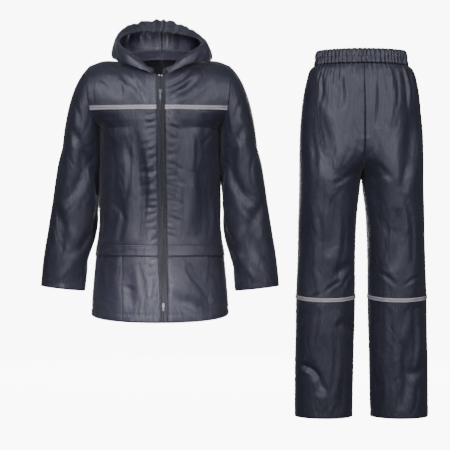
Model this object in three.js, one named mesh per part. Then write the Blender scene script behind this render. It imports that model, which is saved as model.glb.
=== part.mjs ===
// A rain suit of thin coated cloth: a hooded jacket with a two-way zip, and trousers with an elastic waist.
// Both stand filled out and hollow, side by side. Millimetres, +X to the viewer's right, -Y to the viewer,
// +Z up.
// The origin lies between the jacket's shoulders, at the base of the neck, at mid depth.
import * as THREE from 'three';

const WALL = 1.5;
const SEAM_GAP = 0.3;
const TRIM_LIFT = 0.5;
const TRIM_WALL = 1.0;
const LINING_NEAR = -WALL - 1.8;
const LINING_FAR = -WALL - 0.7;

// Jacket body
const HEM_Z = -736;
const HEM_CURVE_FROM_Z = -600;
const HEM_RISE = 20;
const HEM_DROP = 4;
const WAIST_SEAM_Z = -530;
const YOKE_Z = -120;
const SHOULDER_POINT_X = 203;
const SHOULDER_POINT_Z = -20;
const SHOULDER_CREST = 9;
const SHOULDER_CREST_FROM = 0.3;
const NECK_HALF_WIDTH = 80;
const NECK_FRONT_Z = -51;
const NECK_BACK_Z = 14;
const NECK_BACK_RISE = 45;
const FRONT_NECK_RISE = 14;
const SHOULDER_ROUNDNESS = 0.8;
const ARMHOLE_DEPTH = 95;
const SKIRT_SEAM_LEFT_X = -102;
const SKIRT_SEAM_RIGHT_X = 142;

// Zip
const ZIP_TOP_X = 6;
const ZIP_BOTTOM_X = 16;
const TAPE_HALF_WIDTH = 11.5;
const COIL_HALF_WIDTH = 2.4;
const COIL_WALL = 2.2;
const SLIDER_TOP_Z = -102;
const SLIDER_BOTTOM_Z = -690;
const SLIDER_HEIGHT = 11;
const SLIDER_WIDTH = 8;
const SLIDER_DEPTH = 3;
const PULL_WIDTH = 5;
const PULL_THICKNESS = 1.4;
const PULL_TOP_LENGTH = 24;
const PULL_BOTTOM_LENGTH = 18;

// Trims on the jacket and the trousers
const CHEST_BRAID_Z = -144;
const BRAID_HEIGHT = 12;
const WAIST_BAND_TOP_Z = -526;
const WAIST_BAND_BOTTOM_Z = -557;

// Trousers
const TROUSERS_X = 573;
const CASING_TOP_Z = 24;
const CASING_BOTTOM_Z = -15;
const CASING_WALL = 3;
const CASING_GATHERS = 40;
const CASING_GATHER_DEPTH = 1.8;
const CROTCH_Z = -342;
const CROTCH_BLEND = 150;
const TROUSERS_HEM_Z = -1013;
const KNEE_BRAID_Z = -676;
const KNEE_BRAID_HEIGHT = 11;

// Sections of the jacket body: half width and depth to the front and the back of the mid plane
const BODY_SECTIONS = [
  { z: -736, width: 197, front: 142, back: 130 },
  { z: -684, width: 194, front: 138, back: 128 },
  { z: -598, width: 187, front: 132, back: 122 },
  { z: -530, width: 180, front: 127, back: 117 },
  { z: -462, width: 173, front: 127, back: 116 },
  { z: -330, width: 171, front: 129, back: 116 },
  { z: -256, width: 171, front: 128, back: 115 },
  { z: -200, width: 172, front: 126, back: 114 },
  { z: -150, width: 192, front: 125, back: 113 },
  { z: -110, width: 199, front: 125, back: 113 },
  { z: -60, width: 202, front: 125, back: 113 },
  { z: -22, width: 203, front: 125, back: 113 },
  { z: 60, width: 203, front: 125, back: 113 },
];

// How far the armhole's edge stands off the mid plane as it opens up from the armpit
const ARMHOLE_OPENING = [
  { z: -200, depth: 0 },
  { z: -192, depth: 38 },
  { z: -178, depth: 66 },
  { z: -160, depth: 84 },
  { z: -140, depth: 93 },
  { z: -120, depth: 95 },
];

// Large folds of the body's front: a trough, or a ridge where depth is below 0, from one end to the other
const FRONT_FOLDS = [
  { x0: -170, z0: -50, x1: -112, z1: -125, width: 13, depth: 5 },
  { x0: -138, z0: -52, x1: -98, z1: -120, width: 12, depth: 4 },
  { x0: 128, z0: -42, x1: 58, z1: -108, width: 14, depth: 7 },
  { x0: 158, z0: -70, x1: 104, z1: -130, width: 13, depth: 4 },
  { x0: -72, z0: -200, x1: -62, z1: -510, width: 16, depth: 7 },
  { x0: -108, z0: -370, x1: -160, z1: -520, width: 15, depth: 6 },
  { x0: -25, z0: -210, x1: -32, z1: -430, width: 18, depth: -4 },
  { x0: 112, z0: -300, x1: 122, z1: -510, width: 16, depth: 7 },
  { x0: 80, z0: -210, x1: 82, z1: -500, width: 18, depth: -5 },
  { x0: 150, z0: -240, x1: 140, z1: -470, width: 16, depth: 4 },
  { x0: 82, z0: -580, x1: 150, z1: -690, width: 16, depth: 6 },
  { x0: 30, z0: -670, x1: 150, z1: -722, width: 15, depth: 4 },
  { x0: -120, z0: -590, x1: -70, z1: -700, width: 17, depth: 4 },
];

const BACK_FOLDS = [
  { x0: -120, z0: -70, x1: -60, z1: -180, width: 18, depth: 5 },
  { x0: 118, z0: -66, x1: 66, z1: -190, width: 18, depth: 5 },
  { x0: -40, z0: -220, x1: -62, z1: -500, width: 20, depth: 7 },
  { x0: 52, z0: -260, x1: 44, z1: -510, width: 20, depth: 6 },
  { x0: 120, z0: -250, x1: 128, z1: -480, width: 18, depth: 5 },
  { x0: -118, z0: -300, x1: -126, z1: -500, width: 18, depth: 6 },
  { x0: -60, z0: -580, x1: -96, z1: -715, width: 18, depth: 6 },
  { x0: 40, z0: -590, x1: 74, z1: -700, width: 18, depth: 5 },
];

// Sleeves: the far edge, the near edge and half the depth, as distances from the mid plane, by height
const SLEEVE_SECTIONS = [
  { z: -250, outer: 277, inner: 172.6, depth: 84 },
  { z: -300, outer: 290, inner: 172.6, depth: 78 },
  { z: -350, outer: 298, inner: 172.8, depth: 74 },
  { z: -400, outer: 305, inner: 173.6, depth: 70 },
  { z: -450, outer: 313, inner: 174.8, depth: 67 },
  { z: -500, outer: 321, inner: 183, depth: 64 },
  { z: -550, outer: 329, inner: 197, depth: 61 },
  { z: -600, outer: 335, inner: 207, depth: 57 },
  { z: -650, outer: 339, inner: 214, depth: 54 },
];
const SLEEVE_CAP_TILTS = [0.14, 0.32, 0.52, 0.72, 0.88];
const CUFF_Z = -650;
const CUFF_TILT_FROM_Z = -500;
const CUFF_TILT = 7;
const CAP_BEND_OUT = 0.78;
const CAP_BEND_DOWN = 0.22;

// Long folds of a sleeve, by height and by turn round the sleeve (0 at the far side, 0.25 at the front)
const SLEEVE_FOLDS = [
  { turn: 0.17, z0: -190, z1: -420, width: 0.045, depth: 8 },
  { turn: 0.3, z0: -260, z1: -560, width: 0.045, depth: 9 },
  { turn: 0.08, z0: -400, z1: -620, width: 0.04, depth: 6 },
  { turn: 0.23, z0: -470, z1: -630, width: 0.04, depth: -4 },
  { turn: 0.72, z0: -220, z1: -480, width: 0.05, depth: 8 },
  { turn: 0.84, z0: -380, z1: -600, width: 0.045, depth: 7 },
];

// Hood, by place p from the zip at the left round the back of the neck to the zip at the right: the outer
// belly of its roll, the top of the roll, and the face edge
const HOOD_BELLY = [
  { p: -1, x: -17, y: -122, z: -50 },
  { p: -0.8, x: -84, y: -120, z: -26 },
  { p: -0.62, x: -124, y: -66, z: -6 },
  { p: -0.46, x: -138, y: 14, z: 14 },
  { p: -0.24, x: -104, y: 98, z: 34 },
  { p: 0, x: 0, y: 124, z: 44 },
  { p: 0.24, x: 106, y: 98, z: 34 },
  { p: 0.46, x: 146, y: 14, z: 8 },
  { p: 0.62, x: 140, y: -62, z: -9 },
  { p: 0.8, x: 92, y: -120, z: -22 },
  { p: 1, x: 30, y: -122, z: -50 },
];

const HOOD_TOP = [
  { p: -1, x: -19, y: -123, z: -47 },
  { p: -0.8, x: -82, y: -122, z: 0 },
  { p: -0.62, x: -120, y: -66, z: 42 },
  { p: -0.46, x: -126, y: 8, z: 66 },
  { p: -0.24, x: -98, y: 60, z: 105 },
  { p: 0, x: 2, y: 84, z: 126 },
  { p: 0.24, x: 82, y: 62, z: 99 },
  { p: 0.46, x: 130, y: 8, z: 58 },
  { p: 0.62, x: 130, y: -64, z: 38 },
  { p: 0.8, x: 88, y: -122, z: 2 },
  { p: 1, x: 31, y: -123, z: -47 },
];

const HOOD_EDGE = [
  { p: -1, x: -18, y: -121, z: -43 },
  { p: -0.8, x: -52, y: -112, z: -10 },
  { p: -0.62, x: -104, y: -62, z: 31 },
  { p: -0.46, x: -110, y: -20, z: 60 },
  { p: -0.24, x: -66, y: 0, z: 80 },
  { p: 0, x: 0, y: 10, z: 82 },
  { p: 0.24, x: 68, y: 0, z: 72 },
  { p: 0.46, x: 112, y: -20, z: 54 },
  { p: 0.62, x: 110, y: -62, z: 30 },
  { p: 0.8, x: 60, y: -112, z: -8 },
  { p: 1, x: 30, y: -121, z: -43 },
];

const HOOD_ROWS = 8;
const HOOD_GATHER_SPREAD = 0.3;
const HOOD_GATHER_DEPTH = 5;
const HOOD_LIFT = 0.6;
const HOOD_STAND = 14;
const HOOD_STAND_SHARE = 0.3;

// Trousers: hip sections above the crotch and leg sections below it
const HIP_SECTIONS = [
  { z: -15, width: 129, front: 87, back: 90 },
  { z: -32, width: 147, front: 93, back: 101 },
  { z: -68, width: 158, front: 100, back: 112 },
  { z: -114, width: 167, front: 104, back: 118 },
  { z: -171, width: 173, front: 106, back: 120 },
  { z: -228, width: 176, front: 106, back: 118 },
  { z: -342, width: 177, front: 102, back: 110 },
];
const LEG_SECTIONS = [
  { z: -342, outer: 177, inner: 1, front: 102, back: 110 },
  { z: -400, outer: 178, inner: 8, front: 96, back: 102 },
  { z: -460, outer: 180, inner: 14, front: 92, back: 96 },
  { z: -530, outer: 181, inner: 17, front: 88, back: 90 },
  { z: -684, outer: 186, inner: 18, front: 82, back: 82 },
  { z: -776, outer: 187, inner: 20, front: 80, back: 80 },
  { z: -855, outer: 189, inner: 22, front: 78, back: 78 },
  { z: -1013, outer: 190, inner: 25, front: 75, back: 75 },
];

// Large folds of the trousers' front, by distance from their own middle
const TROUSER_FRONT_FOLDS = [
  { x0: -74, z0: -40, x1: -70, z1: -150, width: 13, depth: 6 },
  { x0: -34, z0: -50, x1: -20, z1: -300, width: 15, depth: 7 },
  { x0: 34, z0: -40, x1: 36, z1: -200, width: 13, depth: 6 },
  { x0: 132, z0: -150, x1: 104, z1: -380, width: 17, depth: 7 },
  { x0: -120, z0: -120, x1: -60, z1: -330, width: 18, depth: -4 },
  { x0: -80, z0: -615, x1: -28, z1: -575, width: 13, depth: 6 },
  { x0: -74, z0: -740, x1: -24, z1: -775, width: 13, depth: 6 },
  { x0: -170, z0: -855, x1: -128, z1: -900, width: 14, depth: 8 },
  { x0: -128, z0: -880, x1: -122, z1: -950, width: 13, depth: 5 },
  { x0: 106, z0: -790, x1: 108, z1: -990, width: 14, depth: 8 },
  { x0: 178, z0: -860, x1: 124, z1: -895, width: 13, depth: 6 },
  { x0: -90, z0: -390, x1: -100, z1: -560, width: 16, depth: 5 },
  { x0: 90, z0: -420, x1: 78, z1: -600, width: 16, depth: 6 },
  { x0: -60, z0: -900, x1: -66, z1: -995, width: 13, depth: 5 },
];

const TROUSER_BACK_FOLDS = [
  { x0: -60, z0: -40, x1: -54, z1: -210, width: 15, depth: 6 },
  { x0: 62, z0: -40, x1: 58, z1: -190, width: 15, depth: 6 },
  { x0: 20, z0: -60, x1: 16, z1: -230, width: 14, depth: 5 },
  { x0: -120, z0: -250, x1: -60, z1: -360, width: 17, depth: 6 },
  { x0: 122, z0: -260, x1: 64, z1: -370, width: 17, depth: 7 },
  { x0: -140, z0: -620, x1: -60, z1: -650, width: 14, depth: 7 },
  { x0: 60, z0: -625, x1: 146, z1: -655, width: 14, depth: 7 },
  { x0: -100, z0: -720, x1: -96, z1: -960, width: 15, depth: 6 },
  { x0: 104, z0: -720, x1: 98, z1: -980, width: 15, depth: 6 },
];

// Grid sizes
const YOKE_ROWS = 6;
const SKIRT_FRONT_COLUMNS = 7;
const SKIRT_SIDE_COLUMNS = 5;
const HOOD_SPLIT = 2;
const LEG_COLUMNS = 7;

const CLOTH = new THREE.MeshStandardMaterial({ color: 0x3a3e4d, roughness: 0.42, metalness: 0.05 });
const MESH_CLOTH = new THREE.MeshStandardMaterial({ color: 0x141418, roughness: 0.85, metalness: 0 });
const BRAID = new THREE.MeshStandardMaterial({ color: 0xb4b0b8, roughness: 0.35, metalness: 0.2 });
const TAPE = new THREE.MeshStandardMaterial({ color: 0x3c3b43, roughness: 0.8, metalness: 0 });
const COIL = new THREE.MeshStandardMaterial({ color: 0x5a5554, roughness: 0.5, metalness: 0.1 });
const METAL = new THREE.MeshStandardMaterial({ color: 0xb8b2b0, roughness: 0.35, metalness: 0.9 });

const RIGHT_ANGLE = Math.PI / 2;
const suit = new THREE.Group();
suit.name = 'rain_suit';

// Reads one column of a table at a value of another, straight between the rows
function read(rows, key, value, column) {
  const rising = rows[0][key] < rows[rows.length - 1][key];
  const list = rising ? rows : [...rows].reverse();
  if (value <= list[0][key]) return list[0][column];
  for (let i = 1; i < list.length; i += 1) {
    if (value <= list[i][key]) {
      const t = (value - list[i - 1][key]) / (list[i][key] - list[i - 1][key]);
      return THREE.MathUtils.lerp(list[i - 1][column], list[i][column], t);
    }
  }
  return list[list.length - 1][column];
}

// Even steps from one value to another
function steps(from, to, count) {
  return Array.from({ length: count + 1 }, (_, i) => from + ((to - from) * i) / count);
}

// Depth of all folds of a table at a point, fading over each fold's width and towards its ends
function foldDepth(folds, x, z) {
  let sum = 0;
  for (const fold of folds) {
    const along = new THREE.Vector2(fold.x1 - fold.x0, fold.z1 - fold.z0);
    const length = along.length();
    along.divideScalar(length);
    const from = new THREE.Vector2(x - fold.x0, z - fold.z0);
    const run = from.dot(along) / length;
    const off = Math.abs(from.cross(along)) / fold.width;
    const middle = 1 - Math.pow(Math.min(1, Math.abs(2 * run - 1)), 3);
    sum += fold.depth * Math.exp(-off * off) * middle;
  }
  return sum;
}

// A closed wall from a grid of outer points and a grid of inner points. A round grid joins its last column to
// its first.
function wallGeometry(outer, inner, round) {
  const rows = outer.length;
  const columns = outer[0].length;
  const positions = [];
  for (const grid of [outer, inner]) {
    for (const row of grid) {
      for (const p of row) positions.push(p.x, p.y, p.z);
    }
  }
  const index = [];
  const at = (side, i, j) => side * rows * columns + i * columns + (j % columns);
  const quad = (a, b, c, d) => index.push(a, b, c, a, c, d);
  const spans = round ? columns : columns - 1;
  for (let i = 0; i < rows - 1; i += 1) {
    for (let j = 0; j < spans; j += 1) {
      quad(at(0, i, j), at(0, i, j + 1), at(0, i + 1, j + 1), at(0, i + 1, j));
      quad(at(1, i, j), at(1, i + 1, j), at(1, i + 1, j + 1), at(1, i, j + 1));
    }
  }
  for (let j = 0; j < spans; j += 1) {
    quad(at(0, 0, j), at(1, 0, j), at(1, 0, j + 1), at(0, 0, j + 1));
    quad(at(0, rows - 1, j), at(0, rows - 1, j + 1), at(1, rows - 1, j + 1), at(1, rows - 1, j));
  }
  if (!round) {
    const last = columns - 1;
    for (let i = 0; i < rows - 1; i += 1) {
      quad(at(0, i, 0), at(0, i + 1, 0), at(1, i + 1, 0), at(1, i, 0));
      quad(at(0, i, last), at(1, i, last), at(1, i + 1, last), at(0, i + 1, last));
    }
  }
  const geometry = new THREE.BufferGeometry();
  geometry.setAttribute('position', new THREE.Float32BufferAttribute(positions, 3));
  geometry.setIndex(index);
  return geometry;
}

// Signed volume, to find which way a wall's faces point
function volume(geometry) {
  const p = geometry.getAttribute('position');
  const id = geometry.getIndex();
  const [a, b, c] = [new THREE.Vector3(), new THREE.Vector3(), new THREE.Vector3()];
  let sum = 0;
  for (let i = 0; i < id.count; i += 3) {
    a.fromBufferAttribute(p, id.getX(i));
    b.fromBufferAttribute(p, id.getX(i + 1));
    c.fromBufferAttribute(p, id.getX(i + 2));
    sum += a.dot(b.cross(c));
  }
  return sum / 6;
}

function addMesh(name, geometry, material) {
  if (volume(geometry) < 0) {
    const id = geometry.getIndex();
    for (let i = 0; i < id.count; i += 3) {
      const second = id.getX(i + 1);
      id.setX(i + 1, id.getX(i + 2));
      id.setX(i + 2, second);
    }
  }
  geometry.computeVertexNormals();
  const mesh = new THREE.Mesh(geometry, material);
  mesh.name = name;
  suit.add(mesh);
}

// Normal of a surface at (u, v) from points a little to each side, pointing away from the inside
function surfaceNormal(surface, u, v, insideOf) {
  const step = 0.004;
  const du = surface(u + step, v).sub(surface(u - step, v));
  const dv = surface(u, v + step).sub(surface(u, v - step));
  const normal = du.cross(dv).normalize();
  const point = surface(u, v);
  return normal.dot(point.sub(insideOf(point))) < 0 ? normal.negate() : normal;
}

// A cloth piece over a surface: cells holds rows of [u, v], and the wall lies from near to far off it
function panel(name, surface, cells, insideOf, material, near = -WALL, far = 0) {
  const grid = (off) => cells.map((row) => row.map(([u, v]) => {
    return surface(u, v).addScaledVector(surfaceNormal(surface, u, v, insideOf), off);
  }));
  addMesh(name, wallGeometry(grid(far), grid(near), false), material);
}

// Jacket body as one closed surface. across runs from -1 at the left side seam or armhole to 1 at the right
// one. level is a height up to the yoke, and above it YOKE_Z plus the share of the way over the shoulder.
function armholeAngle(z, depth) {
  const opening = Math.min(ARMHOLE_DEPTH, read(ARMHOLE_OPENING, 'z', z, 'depth'));
  return RIGHT_ANGLE - Math.asin(opening / depth);
}

function topAngle(back) {
  return armholeAngle(0, read(BODY_SECTIONS, 'z', 0, back ? 'back' : 'front'));
}

function shoulderLine(x, back) {
  const out = Math.abs(x);
  if (out >= NECK_HALF_WIDTH) {
    const run = (out - NECK_HALF_WIDTH) / (SHOULDER_POINT_X - NECK_HALF_WIDTH);
    const crest = Math.max(0, (run - SHOULDER_CREST_FROM) / (1 - SHOULDER_CREST_FROM));
    return SHOULDER_POINT_Z * run + SHOULDER_CREST * Math.sin(Math.PI * crest);
  }
  return (back ? NECK_BACK_RISE : FRONT_NECK_RISE) * (1 - out / NECK_HALF_WIDTH);
}

function necklineHeight(x, back) {
  const out = Math.min(1, Math.abs(x) / NECK_HALF_WIDTH);
  return back ? NECK_BACK_Z * (1 - out * out) : NECK_FRONT_Z * (1 - Math.pow(out, 2.2));
}

function nominalX(back, across) {
  const top = topAngle(back);
  return (SHOULDER_POINT_X * Math.sin(across * top)) / Math.sin(top);
}

function acrossForNominalX(back, x) {
  const top = topAngle(back);
  return Math.asin((x * Math.sin(top)) / SHOULDER_POINT_X) / top;
}

// The hem is lowest at the zip and rises towards the side seams
function hemShift(across, level) {
  const run = Math.min(1, Math.max(0, (HEM_CURVE_FROM_Z - level) / (HEM_CURVE_FROM_Z - HEM_Z)));
  return run * (HEM_RISE * Math.pow(Math.abs(across), 2.2) - HEM_DROP);
}

function bodyPoint(back, across, level) {
  const share = level - YOKE_Z;
  let z = level + hemShift(across, level);
  let closing = 1;
  if (share > 0) {
    const turn = share * RIGHT_ANGLE;
    const climb = Math.pow(Math.max(0, Math.sin(turn)), SHOULDER_ROUNDNESS);
    z = YOKE_Z + (shoulderLine(nominalX(back, across), back) - YOKE_Z) * climb;
    closing = Math.cos(turn);
  }
  const width = read(BODY_SECTIONS, 'z', z, 'width');
  const depth = read(BODY_SECTIONS, 'z', z, back ? 'back' : 'front');
  const edge = armholeAngle(z, depth);
  const angle = across * edge;
  const x = (width / Math.sin(edge)) * Math.sin(angle);
  const folds = foldDepth(back ? BACK_FOLDS : FRONT_FOLDS, x, z);
  const y = (depth * closing - folds * Math.max(0, closing)) * Math.cos(angle);
  return new THREE.Vector3(x, back ? y : -y, z);
}

const frontSurface = (u, v) => bodyPoint(false, u, v);
const backSurface = (u, v) => bodyPoint(true, u, v);
const bodyInside = (p) => new THREE.Vector3(0, 0, Math.min(p.z, YOKE_Z));

// Across value at a given x and height below the yoke, or at the neck's front
function acrossAt(back, x, level) {
  const z = level > YOKE_Z ? YOKE_Z : level;
  const width = read(BODY_SECTIONS, 'z', z, 'width');
  const edge = armholeAngle(z, read(BODY_SECTIONS, 'z', z, back ? 'back' : 'front'));
  return Math.asin((x * Math.sin(edge)) / width) / edge;
}

function zipX(level) {
  const z = Math.min(NECK_FRONT_Z, level);
  return THREE.MathUtils.mapLinear(z, NECK_FRONT_Z, HEM_Z, ZIP_TOP_X, ZIP_BOTTOM_X);
}

// Highest level of a column: the neckline near the middle, and just short of the shoulder seam beside it
function topShare(back, across) {
  const x = nominalX(back, across);
  const full = 1 - SEAM_GAP / 2 / (ARMHOLE_DEPTH * RIGHT_ANGLE);
  if (Math.abs(x) >= NECK_HALF_WIDTH - 0.5) return full;
  const climb = (necklineHeight(x, back) - YOKE_Z) / (shoulderLine(x, back) - YOKE_Z);
  return Math.min(full, Math.asin(Math.pow(climb, 1 / SHOULDER_ROUNDNESS)) / RIGHT_ANGLE);
}

const NECK_XS = [32, 50, 65, 74, NECK_HALF_WIDTH];
const SHOULDER_XS = [99, 120, 142, 164, 185, SHOULDER_POINT_X];
const ARMHOLE_LEVELS = [-200, -192, -178, -160, -140, YOKE_Z];
const BODY_LEVELS = [...steps(WAIST_SEAM_Z + SEAM_GAP / 2, -225, 9), ...ARMHOLE_LEVELS];
const SKIRT_LEVELS = steps(HEM_Z, WAIST_SEAM_Z - SEAM_GAP / 2, 6);
const BODY_MEAN_DEPTH = 120;
const SEAM_INSET = SEAM_GAP / 2 / (BODY_MEAN_DEPTH * RIGHT_ANGLE);
const BRAID_END = 0.996;

// Columns of the front as fractions from the zip's edge to the side, one of them at the neck's side
const FRONT_FRACTIONS = (() => {
  const zipEdge = acrossForNominalX(false, TAPE_HALF_WIDTH);
  const across = [TAPE_HALF_WIDTH, ...NECK_XS, ...SHOULDER_XS].map((x) => acrossForNominalX(false, x));
  return across.map((u) => (u - zipEdge) / (1 - zipEdge));
})();

function frontAcross(side, level, fraction, fromX) {
  const start = acrossAt(false, fromX, level);
  const end = side * (1 - SEAM_INSET);
  return THREE.MathUtils.lerp(start, end, fraction);
}

function zipEdgeX(side, level) {
  return zipX(level) + side * TAPE_HALF_WIDTH;
}

// Rows over the yoke, each column ending at its own top
function yokeRows(back, acrossOf) {
  return steps(0, 1, YOKE_ROWS).slice(1).map((t) => acrossOf(YOKE_Z + t).map((u) => {
    return [u, YOKE_Z + t * topShare(back, u)];
  }));
}

function frontCells(side) {
  const acrossOf = (level) => FRONT_FRACTIONS.map((f) => frontAcross(side, level, f, zipEdgeX(side, level)));
  const rows = BODY_LEVELS.map((level) => acrossOf(level).map((u) => [u, level]));
  return [...rows, ...yokeRows(false, acrossOf)];
}

const BACK_XS = [0, 20, 38, 54, 68, ...NECK_XS.slice(-1), ...SHOULDER_XS];
const BACK_ACROSS = (() => {
  const right = BACK_XS.map((x) => Math.min(1 - SEAM_INSET, acrossForNominalX(true, x)));
  return [...right.slice(1).reverse().map((u) => -u), ...right];
})();

function backCells(levels, yoke) {
  const rows = levels.map((level) => BACK_ACROSS.map((u) => [u, level]));
  return yoke ? [...rows, ...yokeRows(true, () => BACK_ACROSS)] : rows;
}

const leftCells = frontCells(-1);
const rightCells = frontCells(1);
const backUpperCells = backCells(BODY_LEVELS, true);
panel('front_left', frontSurface, leftCells, bodyInside, CLOTH);
panel('front_right', frontSurface, rightCells, bodyInside, CLOTH);
panel('back', backSurface, backUpperCells, bodyInside, CLOTH);

// Skirt below the waist seam, in a front and a side piece each side of the zip, and one back
function skirtSeamX(side) {
  return side < 0 ? SKIRT_SEAM_LEFT_X : SKIRT_SEAM_RIGHT_X;
}

function stripCells(levels, fromOf, toOf, count) {
  return levels.map((level) => steps(fromOf(level), toOf(level), count).map((u) => [u, level]));
}

for (const [side, word] of [[-1, 'left'], [1, 'right']]) {
  const seam = skirtSeamX(side);
  const zipSide = (level) => acrossAt(false, zipEdgeX(side, level), level);
  const seamNear = (level) => acrossAt(false, seam - (side * SEAM_GAP) / 2, level);
  const seamFar = (level) => acrossAt(false, seam + (side * SEAM_GAP) / 2, level);
  const sideSeam = () => side * (1 - SEAM_INSET);
  const frontStrip = stripCells(SKIRT_LEVELS, zipSide, seamNear, SKIRT_FRONT_COLUMNS);
  const sideStrip = stripCells(SKIRT_LEVELS, seamFar, sideSeam, SKIRT_SIDE_COLUMNS);
  panel(`skirt_front_${word}`, frontSurface, frontStrip, bodyInside, CLOTH);
  panel(`skirt_side_${word}`, frontSurface, sideStrip, bodyInside, CLOTH);
}
panel('skirt_back', backSurface, backCells(SKIRT_LEVELS, false), bodyInside, CLOTH);

// Flat band over the waist seam
const BAND_LEVELS = [WAIST_BAND_BOTTOM_Z, WAIST_SEAM_Z, WAIST_BAND_TOP_Z];
const BAND_NEAR = TRIM_LIFT + 0.2;
for (const [side, word] of [[-1, 'left'], [1, 'right']]) {
  const from = (level) => acrossAt(false, zipEdgeX(side, level), level);
  const cells = stripCells(BAND_LEVELS, from, () => side * (1 - 2 * SEAM_INSET), 16);
  panel(`waist_band_${word}`, frontSurface, cells, bodyInside, CLOTH, BAND_NEAR, BAND_NEAR + TRIM_WALL);
}
const backBand = stripCells(BAND_LEVELS, () => -1 + 2 * SEAM_INSET, () => 1 - 2 * SEAM_INSET, 24);
panel('waist_band_back', backSurface, backBand, bodyInside, CLOTH, BAND_NEAR, BAND_NEAR + TRIM_WALL);

// Reflective braid across the chest, from the zip to the armholes
const CHEST_LEVELS = [CHEST_BRAID_Z - BRAID_HEIGHT / 2, CHEST_BRAID_Z + BRAID_HEIGHT / 2];
for (const [side, word] of [[-1, 'left'], [1, 'right']]) {
  const cells = CHEST_LEVELS.map((level) => FRONT_FRACTIONS.map((f) => {
    return [frontAcross(side, level, f, zipEdgeX(side, level)) * (f === 1 ? BRAID_END : 1), level];
  }));
  panel(`braid_chest_${word}`, frontSurface, cells, bodyInside, BRAID, TRIM_LIFT, TRIM_LIFT + TRIM_WALL);
}

// Mesh lining inside the back of the neck
const LINING_LEVELS = [-225, ...ARMHOLE_LEVELS];
const LINING_COLUMNS = BACK_ACROSS.filter((u) => Math.abs(nominalX(true, u)) < NECK_HALF_WIDTH + 1);
const liningRows = LINING_LEVELS.map((level) => LINING_COLUMNS.map((u) => [u, level]));
const liningYoke = steps(0, 1, YOKE_ROWS).slice(1, -1).map((t) => LINING_COLUMNS.map((u) => {
  return [u, YOKE_Z + t * topShare(true, u)];
}));
const liningCells = [...liningRows, ...liningYoke];
panel('lining_back', backSurface, liningCells, bodyInside, MESH_CLOTH, LINING_NEAR, LINING_FAR);

// Sleeves: the armhole's loop, a cap that turns down, then sections down to the cuff
const SLEEVE_TURNS = 2 * (YOKE_ROWS + ARMHOLE_LEVELS.length - 1);

// Armhole points of one half, from the shoulder down to the armpit
function armholeHalf(side, back) {
  const u = side * (1 - SEAM_INSET);
  const shares = steps(1, 0, YOKE_ROWS).slice(0, -1).map((t) => YOKE_Z + t * topShare(back, u));
  const levels = [...shares, ...[...ARMHOLE_LEVELS].reverse()];
  const surface = back ? backSurface : frontSurface;
  return levels.map((level) => ({
    point: surface(u, level),
    normal: surfaceNormal(surface, u, level, bodyInside),
  }));
}

function armholeLoop(side) {
  const front = armholeHalf(side, false);
  const back = armholeHalf(side, true);
  return [...front, ...back.slice(1, -1).reverse()];
}

function sleeveFoldDepth(side, turn, z) {
  let sum = 0;
  for (const fold of SLEEVE_FOLDS) {
    const shifted = side < 0 ? fold.turn : fold.turn + 0.025;
    const off = (turn - shifted) / fold.width;
    const run = (z - fold.z0) / (fold.z1 - fold.z0);
    if (run > 0 && run < 1) {
      sum += fold.depth * Math.exp(-off * off) * Math.sin(Math.PI * run);
    }
  }
  return sum;
}

function sleeveRing(side, z) {
  const outer = read(SLEEVE_SECTIONS, 'z', z, 'outer');
  const inner = read(SLEEVE_SECTIONS, 'z', z, 'inner');
  const depth = read(SLEEVE_SECTIONS, 'z', z, 'depth');
  const middle = (outer + inner) / 2;
  const half = (outer - inner) / 2;
  const cuffShare = Math.max(0, (CUFF_TILT_FROM_Z - z) / (CUFF_TILT_FROM_Z - CUFF_Z));
  return Array.from({ length: SLEEVE_TURNS }, (_, j) => {
    const turn = j / SLEEVE_TURNS;
    const angle = turn * 2 * Math.PI;
    const shrink = 1 - sleeveFoldDepth(side, turn, z) / depth;
    const x = side * (middle + half * Math.cos(angle) * shrink);
    const tilt = CUFF_TILT * Math.cos(angle) * cuffShare;
    return new THREE.Vector3(x, -depth * Math.sin(angle) * shrink, z + tilt);
  });
}

// Average normals of a round grid, each pointing away from the middle of its own row
function ringNormals(grid) {
  return grid.map((row, i) => {
    const middle = row.reduce((sum, p) => sum.add(p), new THREE.Vector3()).divideScalar(row.length);
    return row.map((p, j) => {
      const before = row[(j + row.length - 1) % row.length];
      const after = row[(j + 1) % row.length];
      const above = grid[Math.max(0, i - 1)][j];
      const below = grid[Math.min(grid.length - 1, i + 1)][j];
      const normal = after.clone().sub(before).cross(below.clone().sub(above)).normalize();
      return normal.dot(p.clone().sub(middle)) < 0 ? normal.negate() : normal;
    });
  });
}

for (const [side, word] of [[-1, 'left'], [1, 'right']]) {
  const loop = armholeLoop(side);
  const start = loop.map((entry) => entry.point.clone().add(new THREE.Vector3(side * SEAM_GAP, 0, 0)));
  const first = sleeveRing(side, SLEEVE_SECTIONS[0].z);
  const cap = SLEEVE_CAP_TILTS.map((t) => start.map((p, j) => {
    const end = first[j];
    const bend = new THREE.Vector3(
      THREE.MathUtils.lerp(p.x, end.x, CAP_BEND_OUT),
      THREE.MathUtils.lerp(p.y, end.y, 0.5),
      THREE.MathUtils.lerp(p.z, end.z, CAP_BEND_DOWN),
    );
    const towardsBend = p.clone().lerp(bend, t);
    return towardsBend.lerp(bend.clone().lerp(end, t), t);
  }));
  const sections = SLEEVE_SECTIONS.map((row) => sleeveRing(side, row.z));
  const outer = [start, ...cap, ...sections];
  const normals = ringNormals(outer);
  const inner = outer.map((row, i) => row.map((p, j) => {
    const normal = normals[i][j].clone();
    if (i === 0 && normal.x * side > 0) normal.setX(0).normalize();
    return p.clone().addScaledVector(normal, -WALL);
  }));
  addMesh(`sleeve_${word}`, wallGeometry(outer, inner, true), CLOTH);
}

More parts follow.
